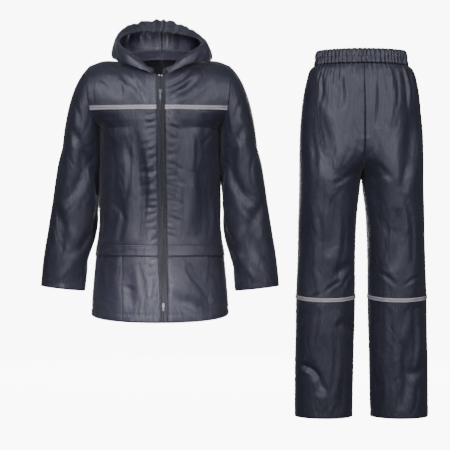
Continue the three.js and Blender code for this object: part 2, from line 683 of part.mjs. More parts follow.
// Hood: an open strip round the neck, rising from the neckline over a rolled belly to the gathered face edge
function necklineRow(side) {
  const cells = side < 0 ? leftCells : rightCells;
  return cells[cells.length - 1].slice(0, NECK_XS.length + 1).map(([u, v]) => ({ back: false, u, v }));
}

function necklineSeam() {
  const backTop = backUpperCells[backUpperCells.length - 1].filter(([u]) => {
    return Math.abs(nominalX(true, u)) < NECK_HALF_WIDTH + 1;
  });
  const left = necklineRow(-1).slice(0, -1);
  const right = necklineRow(1).slice(0, -1).reverse();
  const backEntries = backTop.map(([u, v]) => ({ back: true, u, v }));
  return [...left, ...backEntries, ...right];
}

function hoodSeamPoints() {
  return necklineSeam().map(({ back, u, v }) => {
    const surface = back ? backSurface : frontSurface;
    return surface(u, v).addScaledVector(surfaceNormal(surface, u, v, bodyInside), HOOD_LIFT);
  });
}

// The point of one of the hood's lines at a place p
function hoodStation(line, p) {
  const curve = new THREE.CatmullRomCurve3(line.map((row) => new THREE.Vector3(row.x, row.y, row.z)));
  const spans = line.length - 1;
  const i = Math.min(spans - 1, line.findIndex((row, n) => n === spans || p <= line[n + 1].p));
  const t = (p - line[i].p) / (line[i + 1].p - line[i].p);
  return curve.getPoint((i + t) / spans);
}

const seamPoints = hoodSeamPoints();
const hoodColumns = (seamPoints.length - 1) * HOOD_SPLIT + 1;

function seamAt(column) {
  const place = column / HOOD_SPLIT;
  const i = Math.min(Math.floor(place), seamPoints.length - 2);
  return seamPoints[i].clone().lerp(seamPoints[i + 1], place - i);
}

function hoodPoint(column, t) {
  const p = (2 * column) / (hoodColumns - 1) - 1;
  const stations = [HOOD_BELLY, HOOD_TOP, HOOD_EDGE].map((line) => hoodStation(line, p));
  const seam = seamAt(column);
  const stand = seam.clone().lerp(stations[0], HOOD_STAND_SHARE);
  stand.z += HOOD_STAND;
  const curve = new THREE.CatmullRomCurve3([seam, stand, ...stations]);
  const point = curve.getPoint(t);
  const towardsEdge = THREE.MathUtils.smoothstep(t, 0.5, 0.8);
  const gathered = Math.max(0, 1 - Math.abs(p) / HOOD_GATHER_SPREAD) * towardsEdge;
  const wave = column % 2 ? HOOD_GATHER_DEPTH : -HOOD_GATHER_DEPTH;
  return point.add(new THREE.Vector3(0, -0.4 * wave * gathered, wave * gathered));
}

function hoodHalf(name, from, to, insetFrom, insetTo) {
  const rows = steps(0, 1, HOOD_ROWS);
  const outer = [];
  const inner = [];
  rows.forEach((t) => {
    const outerRow = [];
    const innerRow = [];
    for (let column = from; column <= to; column += 1) {
      const low = Math.max(0, column - 1);
      const high = Math.min(hoodColumns - 1, column + 1);
      const du = hoodPoint(high, t).sub(hoodPoint(low, t));
      const dt = hoodPoint(column, Math.min(1, t + 0.02)).sub(hoodPoint(column, Math.max(0, t - 0.02)));
      const normal = dt.cross(du).normalize();
      const shift = (column === from ? insetFrom : 0) - (column === to ? insetTo : 0);
      const point = hoodPoint(column, t).add(new THREE.Vector3(shift, 0, 0));
      outerRow.push(point);
      innerRow.push(point.clone().addScaledVector(normal, -WALL));
    }
    outer.push(outerRow);
    inner.push(innerRow);
  });
  addMesh(name, wallGeometry(outer, inner, false), CLOTH);
}

const hoodMiddle = (hoodColumns - 1) / 2;
hoodHalf('hood_left', 0, hoodMiddle, 0, SEAM_GAP / 2);
hoodHalf('hood_right', hoodMiddle, hoodColumns - 1, SEAM_GAP / 2, 0);

// Zip: two tapes between the fronts' edges, the closed coil on them, and two sliders that part it
const ZIP_LEVELS = [...SKIRT_LEVELS.slice(1), ...leftCells.map((row) => row[0][1])];

function zipStrip(fromOff, toOff) {
  return ZIP_LEVELS.map((level) => [fromOff, toOff].map((off) => {
    return [acrossAt(false, zipX(level) + off, level), level];
  }));
}

// Level over the yoke at which the front's middle has a height
function zipShare(z) {
  const climb = (z - YOKE_Z) / (shoulderLine(ZIP_TOP_X, false) - YOKE_Z);
  return YOKE_Z + Math.asin(Math.pow(climb, 1 / SHOULDER_ROUNDNESS)) / RIGHT_ANGLE;
}

const TAPE_NEAR_EDGE = 0.2;
const TAPE_FAR_EDGE = TAPE_HALF_WIDTH - SEAM_GAP;
const TAPE_WALL = 1.2;
const leftTape = zipStrip(-TAPE_FAR_EDGE, -TAPE_NEAR_EDGE);
const rightTape = zipStrip(TAPE_NEAR_EDGE, TAPE_FAR_EDGE);
panel('zip_tape_left', frontSurface, leftTape, bodyInside, TAPE, -TAPE_WALL, 0);
panel('zip_tape_right', frontSurface, rightTape, bodyInside, TAPE, -TAPE_WALL, 0);
const COIL_NEAR = SEAM_GAP;
const coilCells = zipStrip(-COIL_HALF_WIDTH, COIL_HALF_WIDTH);
panel('zip_coil', frontSurface, coilCells, bodyInside, COIL, COIL_NEAR, COIL_NEAR + COIL_WALL);

function frontY(x, z) {
  const level = z > YOKE_Z ? zipShare(z) : z;
  return bodyPoint(false, acrossAt(false, x, level), level).y;
}

// A flat hard piece: an outline in X and Z, and a thickness that runs towards the viewer from its back face
function flatPiece(name, outline, backY, thickness, material) {
  const shape = new THREE.Shape(outline);
  const geometry = new THREE.ExtrudeGeometry(shape, { depth: thickness, bevelEnabled: false });
  geometry.rotateX(RIGHT_ANGLE);
  geometry.translate(0, backY, 0);
  const mesh = new THREE.Mesh(geometry, material);
  mesh.name = name;
  suit.add(mesh);
}

function slider(word, z, length, upward) {
  const x = zipX(z);
  const clear = COIL_NEAR + COIL_WALL + SEAM_GAP;
  const heights = [z - SLIDER_HEIGHT / 2, z, z + SLIDER_HEIGHT / 2];
  const backs = heights.map((height) => frontY(zipX(height), height));
  const backY = Math.min(...backs) - clear;
  const half = SLIDER_WIDTH / 2;
  const waist = half * 0.6;
  const top = z + SLIDER_HEIGHT / 2;
  const bottom = z - SLIDER_HEIGHT / 2;
  const corners = [[-waist, bottom], [waist, bottom], [half, bottom + 3], [half, top - 2],
    [half - 2, top], [-half + 2, top], [-half, top - 2], [-half, bottom + 3]];
  const flip = (v) => (upward ? v : bottom + top - v);
  const outline = corners.map(([dx, v]) => new THREE.Vector2(x + dx, flip(v)));
  flatPiece(`zip_slider_${word}`, outline, backY, SLIDER_DEPTH, METAL);
  const pullHalf = PULL_WIDTH / 2;
  const neck = pullHalf * 0.7;
  const widest = -length * 0.35;
  const tab = [[-neck, 0], [neck, 0], [pullHalf, widest], [pullHalf, -length + 2],
    [pullHalf - 1.5, -length], [-pullHalf + 1.5, -length], [-pullHalf, -length + 2], [-pullHalf, widest]];
  const tabOutline = tab.map(([dx, dz]) => new THREE.Vector2(x + dx, z + 2 + dz));
  flatPiece(`zip_pull_${word}`, tabOutline, backY - SLIDER_DEPTH - SEAM_GAP, PULL_THICKNESS, METAL);
}

slider('top', SLIDER_TOP_Z, PULL_TOP_LENGTH, true);
slider('bottom', SLIDER_BOTTOM_Z, PULL_BOTTOM_LENGTH, false);

// Trousers. turn runs from -1 at a leg's outer seam to 1 at its inner seam, past 0 at the leg's own middle.
function legSection(z, back) {
  const side = back ? 'back' : 'front';
  const hip = {
    middle: 0,
    half: read(HIP_SECTIONS, 'z', z, 'width'),
    depth: read(HIP_SECTIONS, 'z', z, side),
  };
  const outer = read(LEG_SECTIONS, 'z', z, 'outer');
  const inner = read(LEG_SECTIONS, 'z', z, 'inner');
  const leg = {
    middle: (outer + inner) / 2,
    half: (outer - inner) / 2,
    depth: read(LEG_SECTIONS, 'z', z, side),
  };
  const blend = THREE.MathUtils.smoothstep(CROTCH_Z + CROTCH_BLEND - z, 0, CROTCH_BLEND);
  return {
    middle: THREE.MathUtils.lerp(hip.middle, leg.middle, blend),
    half: THREE.MathUtils.lerp(hip.half, leg.half, blend),
    depth: THREE.MathUtils.lerp(hip.depth, leg.depth, blend),
  };
}

// share runs from 0 at the outer seam to 1 at the inner or centre seam
function legPoint(side, back, share, z) {
  const section = legSection(z, back);
  const innerSine = Math.min(1, (section.middle - SEAM_GAP / 2) / section.half);
  const innerAngle = Math.asin(innerSine);
  const angle = THREE.MathUtils.lerp(-RIGHT_ANGLE, innerAngle, share);
  const off = section.middle - section.half * Math.sin(angle);
  const x = side * off;
  const folds = foldDepth(back ? TROUSER_BACK_FOLDS : TROUSER_FRONT_FOLDS, x, z);
  const y = (section.depth - folds) * Math.cos(angle);
  return new THREE.Vector3(TROUSERS_X + x, back ? y : -y, z);
}

const LEG_LEVELS = [
  ...steps(TROUSERS_HEM_Z, CROTCH_Z, 15),
  ...steps(CROTCH_Z, CROTCH_Z + CROTCH_BLEND, 5).slice(1),
  ...steps(CROTCH_Z + CROTCH_BLEND, CASING_BOTTOM_Z - SEAM_GAP, 5).slice(1),
];

const LEG_INSET = 0.0009;
const LEG_SHARES = steps(LEG_INSET, 1 - LEG_INSET, LEG_COLUMNS);

for (const [side, word] of [[-1, 'left'], [1, 'right']]) {
  for (const [back, face] of [[false, 'front'], [true, 'back']]) {
    const surface = (share, z) => legPoint(side, back, share, z);
    const insideOf = (p) => new THREE.Vector3(TROUSERS_X + side * legSection(p.z, back).middle, 0, p.z);
    const cells = LEG_LEVELS.map((z) => LEG_SHARES.map((share) => [share, z]));
    panel(`leg_${face}_${word}`, surface, cells, insideOf, CLOTH);
  }
}

// Reflective braid round each leg at the knee
for (const [side, word] of [[-1, 'left'], [1, 'right']]) {
  const levels = [KNEE_BRAID_Z - KNEE_BRAID_HEIGHT / 2, KNEE_BRAID_Z + KNEE_BRAID_HEIGHT / 2];
  const turns = [
    ...LEG_SHARES.map((share) => [false, share]),
    ...[...LEG_SHARES].reverse().map((share) => [true, share]),
  ];
  const grid = (off) => levels.map((z) => turns.map(([back, share]) => {
    const surface = (u, v) => legPoint(side, back, u, v);
    const insideOf = (p) => new THREE.Vector3(TROUSERS_X + side * legSection(p.z, back).middle, 0, p.z);
    return surface(share, z).addScaledVector(surfaceNormal(surface, share, z, insideOf), off);
  }));
  addMesh(`braid_knee_${word}`, wallGeometry(grid(TRIM_LIFT + TRIM_WALL), grid(TRIM_LIFT), true), BRAID);
}

// Waistband: the turned casing, gathered all round by its elastic
const CASING_POINTS = CASING_GATHERS * 3;
const CASING_ROWS = [
  { z: CASING_BOTTOM_Z, wave: 0.5, swell: 0 },
  { z: (CASING_BOTTOM_Z + CASING_TOP_Z) / 2, wave: 1, swell: 1.5 },
  { z: CASING_TOP_Z, wave: 0.8, swell: 0 },
];

function casingRow(row, inward) {
  const hip = HIP_SECTIONS[0];
  return Array.from({ length: CASING_POINTS }, (_, i) => {
    const angle = (i / CASING_POINTS) * 2 * Math.PI;
    const depth = Math.sin(angle) > 0 ? hip.front : hip.back;
    const uneven = 1 + 0.35 * Math.sin(angle * 7 + 1);
    const crest = i % 3 === 0 ? 1 : -0.5;
    const out = row.swell + row.wave * CASING_GATHER_DEPTH * crest * uneven - inward;
    const normal = new THREE.Vector2(Math.cos(angle) / hip.width, Math.sin(angle) / depth).normalize();
    return new THREE.Vector3(
      TROUSERS_X + hip.width * Math.cos(angle) + normal.x * out,
      -depth * Math.sin(angle) - normal.y * out,
      row.z,
    );
  });
}

const casingOuter = CASING_ROWS.map((row) => casingRow(row, 0));
const casingInner = CASING_ROWS.map((row) => casingRow(row, CASING_WALL));
addMesh('waistband', wallGeometry(casingOuter, casingInner, true), CLOTH);

export default suit;
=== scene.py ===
# %% [markdown]
# # A rain suit, jacket and trousers
# The real suit is thin nylon taffeta with a coating inside, cut in panels and sewn with puckered seams. The frame
# holds each panel as a plain wall. Here each one is made again as a fine thin shell on the same form, with its
# creases, seams and stitching, and the hard zip parts are shaped one by one.

# %% Load the frame and keep its box
import math

import bpy
import numpy as np
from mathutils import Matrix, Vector


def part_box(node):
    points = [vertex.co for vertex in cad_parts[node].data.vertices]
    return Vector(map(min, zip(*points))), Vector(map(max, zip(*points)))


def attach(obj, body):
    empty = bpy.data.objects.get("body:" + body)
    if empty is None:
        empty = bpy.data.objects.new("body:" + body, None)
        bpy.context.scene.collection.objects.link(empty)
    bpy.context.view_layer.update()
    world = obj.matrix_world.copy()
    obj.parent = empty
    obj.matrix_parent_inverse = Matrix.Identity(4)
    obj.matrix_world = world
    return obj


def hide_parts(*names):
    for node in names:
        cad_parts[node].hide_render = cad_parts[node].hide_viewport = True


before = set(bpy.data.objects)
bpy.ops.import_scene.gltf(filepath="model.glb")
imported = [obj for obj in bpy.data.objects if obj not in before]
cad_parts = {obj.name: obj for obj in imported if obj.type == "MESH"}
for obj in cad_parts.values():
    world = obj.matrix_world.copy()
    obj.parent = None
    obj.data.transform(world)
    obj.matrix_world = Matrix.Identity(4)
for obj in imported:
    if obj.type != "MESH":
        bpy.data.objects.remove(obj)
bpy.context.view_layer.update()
MM = 0.001
SIDES = ((-1, "left"), (1, "right"))

# %% [markdown]
# ## The forms in numbers
# Each garment is a family of sections: a half width and a depth at each height. The tables are in millimetres, as a
# pattern cutter would note them, and a smooth curve through each column gives every height between.

# %% Tables of the jacket's body
HEM_Z = -736
WAIST_Z = -530
YOKE_Z = -120
SHOULDER_X = 203
SHOULDER_Z = -20
SHOULDER_CREST = 9
SHOULDER_CREST_FROM = 0.3
HEM_CURVE_FROM_Z = -600
HEM_RISE = 20
HEM_DROP = 4
NECK_X = 80
NECK_FRONT_Z = -51
NECK_BACK_Z = 14
RISE_FRONT = 14
RISE_BACK = 45
ROUNDNESS = 0.8
ARMHOLE_DEPTH = 95
BODY_Z = [-736, -684, -598, -530, -462, -330, -256, -200, -150, -110, -60, -22, 60]
BODY_WIDTH = [197, 194, 187, 180, 173, 171, 171, 172, 192, 199, 202, 203, 203]
BODY_FRONT = [142, 138, 132, 127, 127, 129, 128, 126, 125, 125, 125, 125, 125]
BODY_BACK = [130, 128, 122, 117, 116, 116, 115, 114, 113, 113, 113, 113, 113]
OPENING_Z = [-200, -192, -178, -160, -140, -120]
OPENING_DEPTH = [0, 38, 66, 84, 93, 95]
ZIP_TOP_X = 6
ZIP_BOTTOM_X = 16
TAPE_HALF = 11.5
SKIRT_SEAM_X = {-1: -102, 1: 142}
HALF_PI = math.pi / 2
ARMPIT_Z = -200
SIDE_ARC = 190
SHOULDER_ARC = 150

# %% Tables of the sleeves, the trousers and the hood
SLEEVE_Z = [-650, -600, -550, -500, -450, -400, -350, -300, -250]
SLEEVE_OUTER = [339, 335, 329, 321, 313, 305, 298, 290, 277]
SLEEVE_INNER = [214, 207, 197, 183, 174.8, 173.6, 172.8, 172.6, 172.6]
CUFF_TILT = 7
CUFF_TILT_FROM_Z = -500
SLEEVE_DEPTH = [54, 57, 61, 64, 67, 70, 74, 78, 84]
TROUSERS_X = 573
TROUSERS_HEM_Z = -1013
CASING_TOP_Z = 24
CASING_BOTTOM_Z = -15
CROTCH_Z = -342
CROTCH_BLEND = 150
HIP_Z = [-342, -228, -171, -114, -68, -32, -15]
HIP_WIDTH = [177, 176, 173, 167, 158, 147, 129]
HIP_FRONT = [102, 106, 106, 104, 100, 93, 87]
HIP_BACK = [110, 118, 120, 118, 112, 101, 90]
LEG_Z = [-1013, -855, -776, -684, -530, -460, -400, -342]
LEG_OUTER = [190, 189, 187, 186, 181, 180, 178, 177]
LEG_INNER = [25, 22, 20, 18, 17, 14, 8, 1]
LEG_FRONT = [75, 78, 80, 82, 88, 92, 96, 102]
LEG_BACK = [75, 78, 80, 82, 90, 96, 102, 110]


# %% A smooth curve through a table's column
TINY = 1e-12
SMALL = 1e-9


def along(value, places, column):
    """Reads a column at any place, on a curve with no overshoot."""
    x = np.asarray(places, float)
    y = np.asarray(column, float)
    step = np.diff(x)
    slope = np.diff(y) / step
    product = slope[:-1] * slope[1:]
    inner = np.where(product > 0, 2 * product / (slope[:-1] + slope[1:] + TINY), 0)
    tangent = np.concatenate([[slope[0]], inner, [slope[-1]]])
    v = np.clip(np.asarray(value, float), x[0], x[-1])
    i = np.clip(np.searchsorted(x, v) - 1, 0, len(step) - 1)
    t = (v - x[i]) / step[i]
    a = (1 + 2 * t) * (1 - t) ** 2 * y[i] + t * (1 - t) ** 2 * step[i] * tangent[i]
    b = t * t * (3 - 2 * t) * y[i + 1] + t * t * (t - 1) * step[i] * tangent[i + 1]
    return a + b


def smooth_between(v, low, high):
    t = np.clip((v - low) / (high - low), 0, 1)
    return t * t * (3 - 2 * t)


# %% The jacket's body as one surface
def armhole_angle(z, depth):
    opening = np.where(z > OPENING_Z[-1], ARMHOLE_DEPTH, np.interp(z, OPENING_Z, OPENING_DEPTH))
    return HALF_PI - np.arcsin(np.minimum(opening, ARMHOLE_DEPTH) / depth)


def top_angle(back):
    return float(armhole_angle(0.0, (BODY_BACK if back else BODY_FRONT)[-1]))


def shoulder_line(x, back):
    out = np.abs(x)
    rise = RISE_BACK if back else RISE_FRONT
    run = (out - NECK_X) / (SHOULDER_X - NECK_X)
    crest = np.maximum(0, (run - SHOULDER_CREST_FROM) / (1 - SHOULDER_CREST_FROM))
    slope = SHOULDER_Z * run + SHOULDER_CREST * np.sin(math.pi * crest)
    return np.where(out >= NECK_X, slope, rise * (1 - out / NECK_X))


def neckline(x, back):
    out = np.minimum(1, np.abs(x) / NECK_X)
    return NECK_BACK_Z * (1 - out**2) if back else NECK_FRONT_Z * (1 - out**2.2)


def nominal_x(u, back):
    top = top_angle(back)
    return SHOULDER_X * np.sin(u * top) / math.sin(top)


def u_for_nominal(x, back):
    top = top_angle(back)
    return np.arcsin(np.clip(x * math.sin(top) / SHOULDER_X, -1, 1)) / top


def hem_shift(u, level):
    """The hem is lowest at the zip and rises towards the side seams."""
    run = np.clip((HEM_CURVE_FROM_Z - level) / (HEM_CURVE_FROM_Z - HEM_Z), 0, 1)
    return run * (HEM_RISE * np.abs(u) ** 2.2 - HEM_DROP)


def body_surface(u, level, back):
    """u is -1 at the left edge and 1 at the right; above the yoke, level is YOKE_Z plus the share over it."""
    share = np.maximum(level - YOKE_Z, 0)
    turn = share * HALF_PI
    climb = np.maximum(np.sin(turn), 0) ** ROUNDNESS
    over = YOKE_Z + (shoulder_line(nominal_x(u, back), back) - YOKE_Z) * climb
    z = np.where(share > 0, over, level + hem_shift(u, level))
    width = along(z, BODY_Z, BODY_WIDTH)
    depth = along(z, BODY_Z, BODY_BACK if back else BODY_FRONT)
    edge = armhole_angle(z, depth)
    angle = u * edge
    x = width / np.sin(edge) * np.sin(angle)
    y = depth * np.cos(turn) * np.cos(angle)
    return np.stack([x, y if back else -y, z], -1)


def u_at(x, level, back):
    z = np.minimum(level, YOKE_Z)
    width = along(z, BODY_Z, BODY_WIDTH)
    edge = armhole_angle(z, along(z, BODY_Z, BODY_BACK if back else BODY_FRONT))
    return np.arcsin(x * np.sin(edge) / width) / edge


def zip_x(level):
    z = np.minimum(NECK_FRONT_Z, level)
    return ZIP_TOP_X + (NECK_FRONT_Z - z) / (NECK_FRONT_Z - HEM_Z) * (ZIP_BOTTOM_X - ZIP_TOP_X)


def top_share(u, back):
    x = nominal_x(u, back)
    climb = np.clip((neckline(x, back) - YOKE_Z) / (shoulder_line(x, back) - YOKE_Z), 0, 1)
    share = np.arcsin(climb ** (1 / ROUNDNESS)) / HALF_PI
    return np.where(np.abs(x) >= NECK_X, 1.0, share)

# %% [markdown]
# ## Creases
# Thin coated cloth holds sharp little creases that run from where it is held. A crease is a soft trough with a low
# ridge at each side. The large ones are listed one by one from the way the suit hangs, and the frame's walls
# already carry the largest. Small ones are strewn with a fixed seed, each with its own length, depth and slant.

# %% Large creases of the jacket, in millimetres: from one end to the other, half width, depth
FRONT_FOLDS = np.array([
    (-170, -50, -112, -125, 13, 5), (-138, -52, -98, -120, 12, 4), (128, -42, 58, -108, 14, 7),
    (158, -70, 104, -130, 13, 4), (-72, -200, -62, -510, 16, 7), (-108, -370, -160, -520, 15, 6),
    (-25, -210, -32, -430, 18, -4), (112, -300, 122, -510, 16, 7), (80, -210, 82, -500, 18, -5),
    (150, -240, 140, -470, 16, 4), (82, -580, 150, -690, 16, 6), (30, -670, 150, -722, 15, 4),
    (-120, -590, -70, -700, 17, 4)], float)
BACK_FOLDS = np.array([
    (-120, -70, -60, -180, 18, 5), (118, -66, 66, -190, 18, 5), (-40, -220, -62, -500, 20, 7),
    (52, -260, 44, -510, 20, 6), (120, -250, 128, -480, 18, 5), (-118, -300, -126, -500, 18, 6),
    (-60, -580, -96, -715, 18, 6), (40, -590, 74, -700, 18, 5)], float)
FRONT_CREASES = np.array([
    (-186, -60, -150, -118, 5, 2.0), (-152, -44, -120, -100, 5, 1.8), (-116, -36, -76, -104, 6, 2.2),
    (-95, -34, -52, -88, 5, 1.8), (96, -30, 44, -82, 6, 2.6), (142, -44, 84, -118, 6, 2.4),
    (180, -70, 142, -124, 5, 1.8), (-150, -160, -100, -196, 6, 1.6), (-168, -190, -120, -260, 6, 2.2),
    (160, -180, 118, -250, 6, 2.0), (-90, -230, -96, -420, 7, 2.4), (-50, -250, -44, -480, 6, 2.0),
    (-128, -260, -132, -400, 7, 2.2), (-140, -400, -84, -470, 6, 1.8), (40, -220, 46, -420, 7, 2.0),
    (62, -330, 64, -520, 6, 2.2), (98, -200, 100, -330, 6, 1.8), (134, -350, 136, -520, 6, 2.2),
    (60, -560, 110, -640, 7, 2.2), (110, -570, 170, -640, 7, 2.0), (150, -600, 178, -700, 6, 2.2),
    (116, -56, 22, -122, 11, 5.5), (100, -36, 16, -92, 8, 3.5), (-110, -50, -30, -128, 9, 3.5),
    (-104, -400, -112, -520, 9, 4.0), (-112, -516, -165, -540, 6, 3.0), (76, -596, 150, -694, 7, 3.5),
    (-60, -570, -40, -680, 7, 1.8), (-180, -670, -130, -700, 5, 2.4), (-172, -700, -140, -722, 5, 2.2),
    (-150, -560, -140, -640, 7, 2.0), (-110, -640, -60, -655, 6, 1.6), (60, -700, 120, -728, 5, 1.6)], float)


# %% Depth of creases at many points at once
BEND_SHARE = 0.06
RIDGE_SHARE = 0.45
RIDGE_OFF = 1.7


def crease_depth(table, a, b, ridged=True):
    """a and b are a point's places across and up; a row of the table is one crease."""
    total = np.zeros(np.broadcast(a, b).shape)
    for a0, b0, a1, b1, width, depth in table:
        length = math.hypot(a1 - a0, b1 - b0)
        ca, cb = (a1 - a0) / length, (b1 - b0) / length
        run = ((a - a0) * ca + (b - b0) * cb) / length
        bend = BEND_SHARE * length * np.sin(math.pi * np.clip(run, 0, 1))
        off = ((a - a0) * cb - (b - b0) * ca + bend) / width
        fade = np.clip(1 - np.abs(2 * run - 1) ** 3, 0, 1)
        shape = np.exp(-off * off)
        if ridged:
            shape = shape - RIDGE_SHARE * np.exp(-((np.abs(off) - RIDGE_OFF) ** 2))
        total += depth * shape * fade
    return total


def strewn(seed, count, low, high, lengths, slant, spread, widths, depths):
    """A table of small creases with a fixed seed, slant in degrees from straight up."""
    rng = np.random.default_rng(seed)
    a = rng.uniform(low[0], high[0], count)
    b = rng.uniform(low[1], high[1], count)
    length = rng.uniform(*lengths, count)
    turn = np.radians(rng.normal(slant, spread, count))
    width = rng.uniform(*widths, count)
    depth = rng.uniform(*depths, count) * rng.choice([1, 1, -0.8], count)
    return np.stack([a, b, a + length * np.sin(turn), b + length * np.cos(turn), width, depth], 1)


# %% [markdown]
# ## Puckered seams
# A seam in thin cloth draws up as it is sewn, so short ripples cross it. The ripples fade within about a
# centimetre of the seam, and the folded edge below makes a low ridge on one side.

# %% Relief beside a seam
GROOVE_DEPTH = 0.9
GROOVE_WIDTH = 1.6


def bell(distance, reach):
    """1 at the line itself, fading softly to nothing past the reach."""
    return np.exp(-((distance / reach) ** 2))


def pucker(distance, run, seed, pitch=13.0, reach=11.0, height=0.9):
    """distance from the seam and place along it, in millimetres; ripples are uneven in pitch and height."""
    phase = 2 * math.pi * run / pitch
    wander = 1.7 * np.sin(phase * 0.23 + seed)
    uneven = np.sin(phase + wander + seed) * (0.6 + 0.4 * np.sin(phase * 0.31 + 2 * seed))
    return height * uneven * bell(distance, reach) + GROOVE_DEPTH * bell(distance, GROOVE_WIDTH)


# %% A thin shell from a grid of points
PIECES = {}
GRIDS = {}
SHELL = 0.5
LEAST_SHARE = 0.301
STEP_U = 0.002


def add_object(name, data):
    thing = bpy.data.objects.new(name, data)
    bpy.context.collection.objects.link(thing)
    return thing


def shell_object(name, points, coords, closed=False, thickness=SHELL):
    """points are in millimetres, rows by columns; coords are the flat places of the cloth, for its weave."""
    rows, columns = points.shape[:2]
    index = np.arange(rows * columns).reshape(rows, columns)
    if closed:
        index = np.concatenate([index, index[:, :1]], 1)
    quads = np.stack([index[:-1, :-1], index[:-1, 1:], index[1:, 1:], index[1:, :-1]], -1).reshape(-1, 4)
    mesh = bpy.data.meshes.new(name)
    mesh.from_pydata((points.reshape(-1, 3) * MM).tolist(), [], quads.tolist())
    layer = mesh.uv_layers.new(name="cloth")
    corner = np.zeros(len(mesh.loops), int)
    mesh.loops.foreach_get("vertex_index", corner)
    uv = coords.reshape(-1, 2)[corner] * MM
    layer.data.foreach_set("uv", uv.ravel())
    mesh.shade_smooth()
    piece = add_object(name, mesh)
    bpy.context.view_layer.objects.active = piece
    wall = piece.modifiers.new("wall", "SOLIDIFY")
    wall.thickness = thickness * MM
    wall.offset = -1
    with bpy.context.temp_override(object=piece, active_object=piece, selected_objects=[piece]):
        bpy.ops.object.modifier_apply(modifier=wall.name)
    PIECES[name] = piece
    GRIDS[name] = (points, closed)
    return piece


def flat_size(points, closed=False):
    """Width, length and area of the cloth in metres, measured along its grid."""
    ring = np.concatenate([points, points[:, :1]], 1) if closed else points
    across = np.linalg.norm(np.diff(ring, axis=1), axis=2)
    up = np.linalg.norm(np.diff(ring, axis=0), axis=2)
    cross = np.cross(ring[1:, 1:] - ring[:-1, :-1], ring[1:, :-1] - ring[:-1, 1:])
    area = np.linalg.norm(cross, axis=2).sum() / 2
    width, length = across.sum(1).max(), up.sum(0).max()
    return width * MM, length * MM, min(area, width * length) * MM * MM


def normals_of(surface, u, v, inside, step_v=STEP_U):
    """Normals of a surface given by two places, turned away from the points inside."""
    du = surface(u + STEP_U, v) - surface(u - STEP_U, v)
    dv = surface(u, v + step_v) - surface(u, v - step_v)
    n = np.cross(du, dv)
    n /= np.linalg.norm(n, axis=-1, keepdims=True) + TINY
    out = surface(u, v) - inside
    sign = np.where((n * out).sum(-1, keepdims=True) < 0, -1, 1)
    return n * sign


def flat_places(across, up, shape):
    return np.stack([np.broadcast_to(across, shape), np.broadcast_to(up, shape)], -1)


def outward(points, coords, centre):
    """Turns the grid over if its faces would point inwards."""
    a = points[1:, 1:] - points[:-1, :-1]
    b = points[1:, :-1] - points[:-1, 1:]
    n = np.cross(a, b)
    middle = (points[1:, 1:] + points[:-1, :-1]) / 2 - centre
    if (n * middle).sum() < 0:
        return points[::-1], coords[::-1]
    return points, coords


def declare(piece, node, body="suit"):
    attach(piece, body)
    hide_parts(node)


def cloth_piece(node, points, coords, slot="shell_cloth", closed=False, thickness=SHELL):
    """A shell in place of one of the frame's cloth nodes; the cut that it shows is printed."""
    piece = shell_object(f"cloth_{node}", points, coords, closed, thickness)
    declare(piece, node)
    width, length, area = flat_size(points, closed)
    round(max(area, LEAST_SHARE * width * length), 5)
    print(f"{node}: cut {width:.3f} by {length:.3f} m, area {area:.4f} m2")

# %% [markdown]
# ## The jacket's panels
# Every panel takes its own stretch of the body's surface, about one point each 5 mm. The zip's edge, the neckline
# and the armhole are the ends of the grid, so neighbours meet in a shared seam.

# %% Relief of the jacket's body
STEP = 5.0
BODY_CREASE_SHARE = 0.85
CHEST_Z = -210
CHEST_REACH = 38
CHEST_SWELL = 7.0
SIDE_SWELL = 2.4
HEM_TURN = 20
RIPPLE_PITCH = 9.5
RIPPLE_DEPTH = 0.6
FAN_SHARE = 0.65
FAN_TOP_Z = -160.0
FAN_BOTTOM_Z = -515
SKIRT_FAN_Z = (-560, -578, -604, -630, -655)
SMALL_FRONT = strewn(11, 70, (-190, -720), (190, -60), (22, 70), 8, 26, (3.6, 7.0), (0.15, 0.6))
SMALL_BACK = strewn(12, 70, (-190, -720), (190, -60), (22, 80), 0, 30, (3.6, 7.0), (0.15, 0.6))
BACK_CREASES = strewn(13, 26, (-150, -700), (150, -120), (80, 190), 0, 18, (6, 9), (1.4, 2.6))
BROAD_FRONT = strewn(16, 26, (-170, -700), (170, -150), (110, 260), 0, 12, (12, 22), (1.4, 3.2))
BROAD_BACK = strewn(17, 26, (-170, -700), (170, -150), (110, 260), 0, 12, (12, 22), (1.4, 3.2))


def zip_creases(seed, side):
    """Short uneven creases that fan out and down from the zip, longer and deeper towards the waist."""
    rng = np.random.default_rng(seed)
    rows = []
    z = FAN_TOP_Z
    while z > FAN_BOTTOM_Z:
        strength = 0.45 + 0.55 * math.sin(math.pi * min(1, (-z - 130) / 420)) ** 0.6
        start = float(zip_x(z)) + side * (TAPE_HALF - 2)
        reach = rng.uniform(18, 60) * strength
        rows.append((start, z, start + side * reach, z - rng.uniform(-4, 26), rng.uniform(3.6, 6.2),
                     rng.uniform(1.4, 3.4) * strength))
        z -= rng.uniform(8, 17)
    for z in SKIRT_FAN_Z:
        start = float(zip_x(z)) + side * (TAPE_HALF - 2)
        end = start + side * rng.uniform(20, 44)
        rows.append((start, z, end, z - rng.uniform(4, 22), 4.6, rng.uniform(1.0, 2.0)))
    return np.array(rows)


ZIP_CREASES = {-1: zip_creases(14, -1), 1: zip_creases(15, 1)}


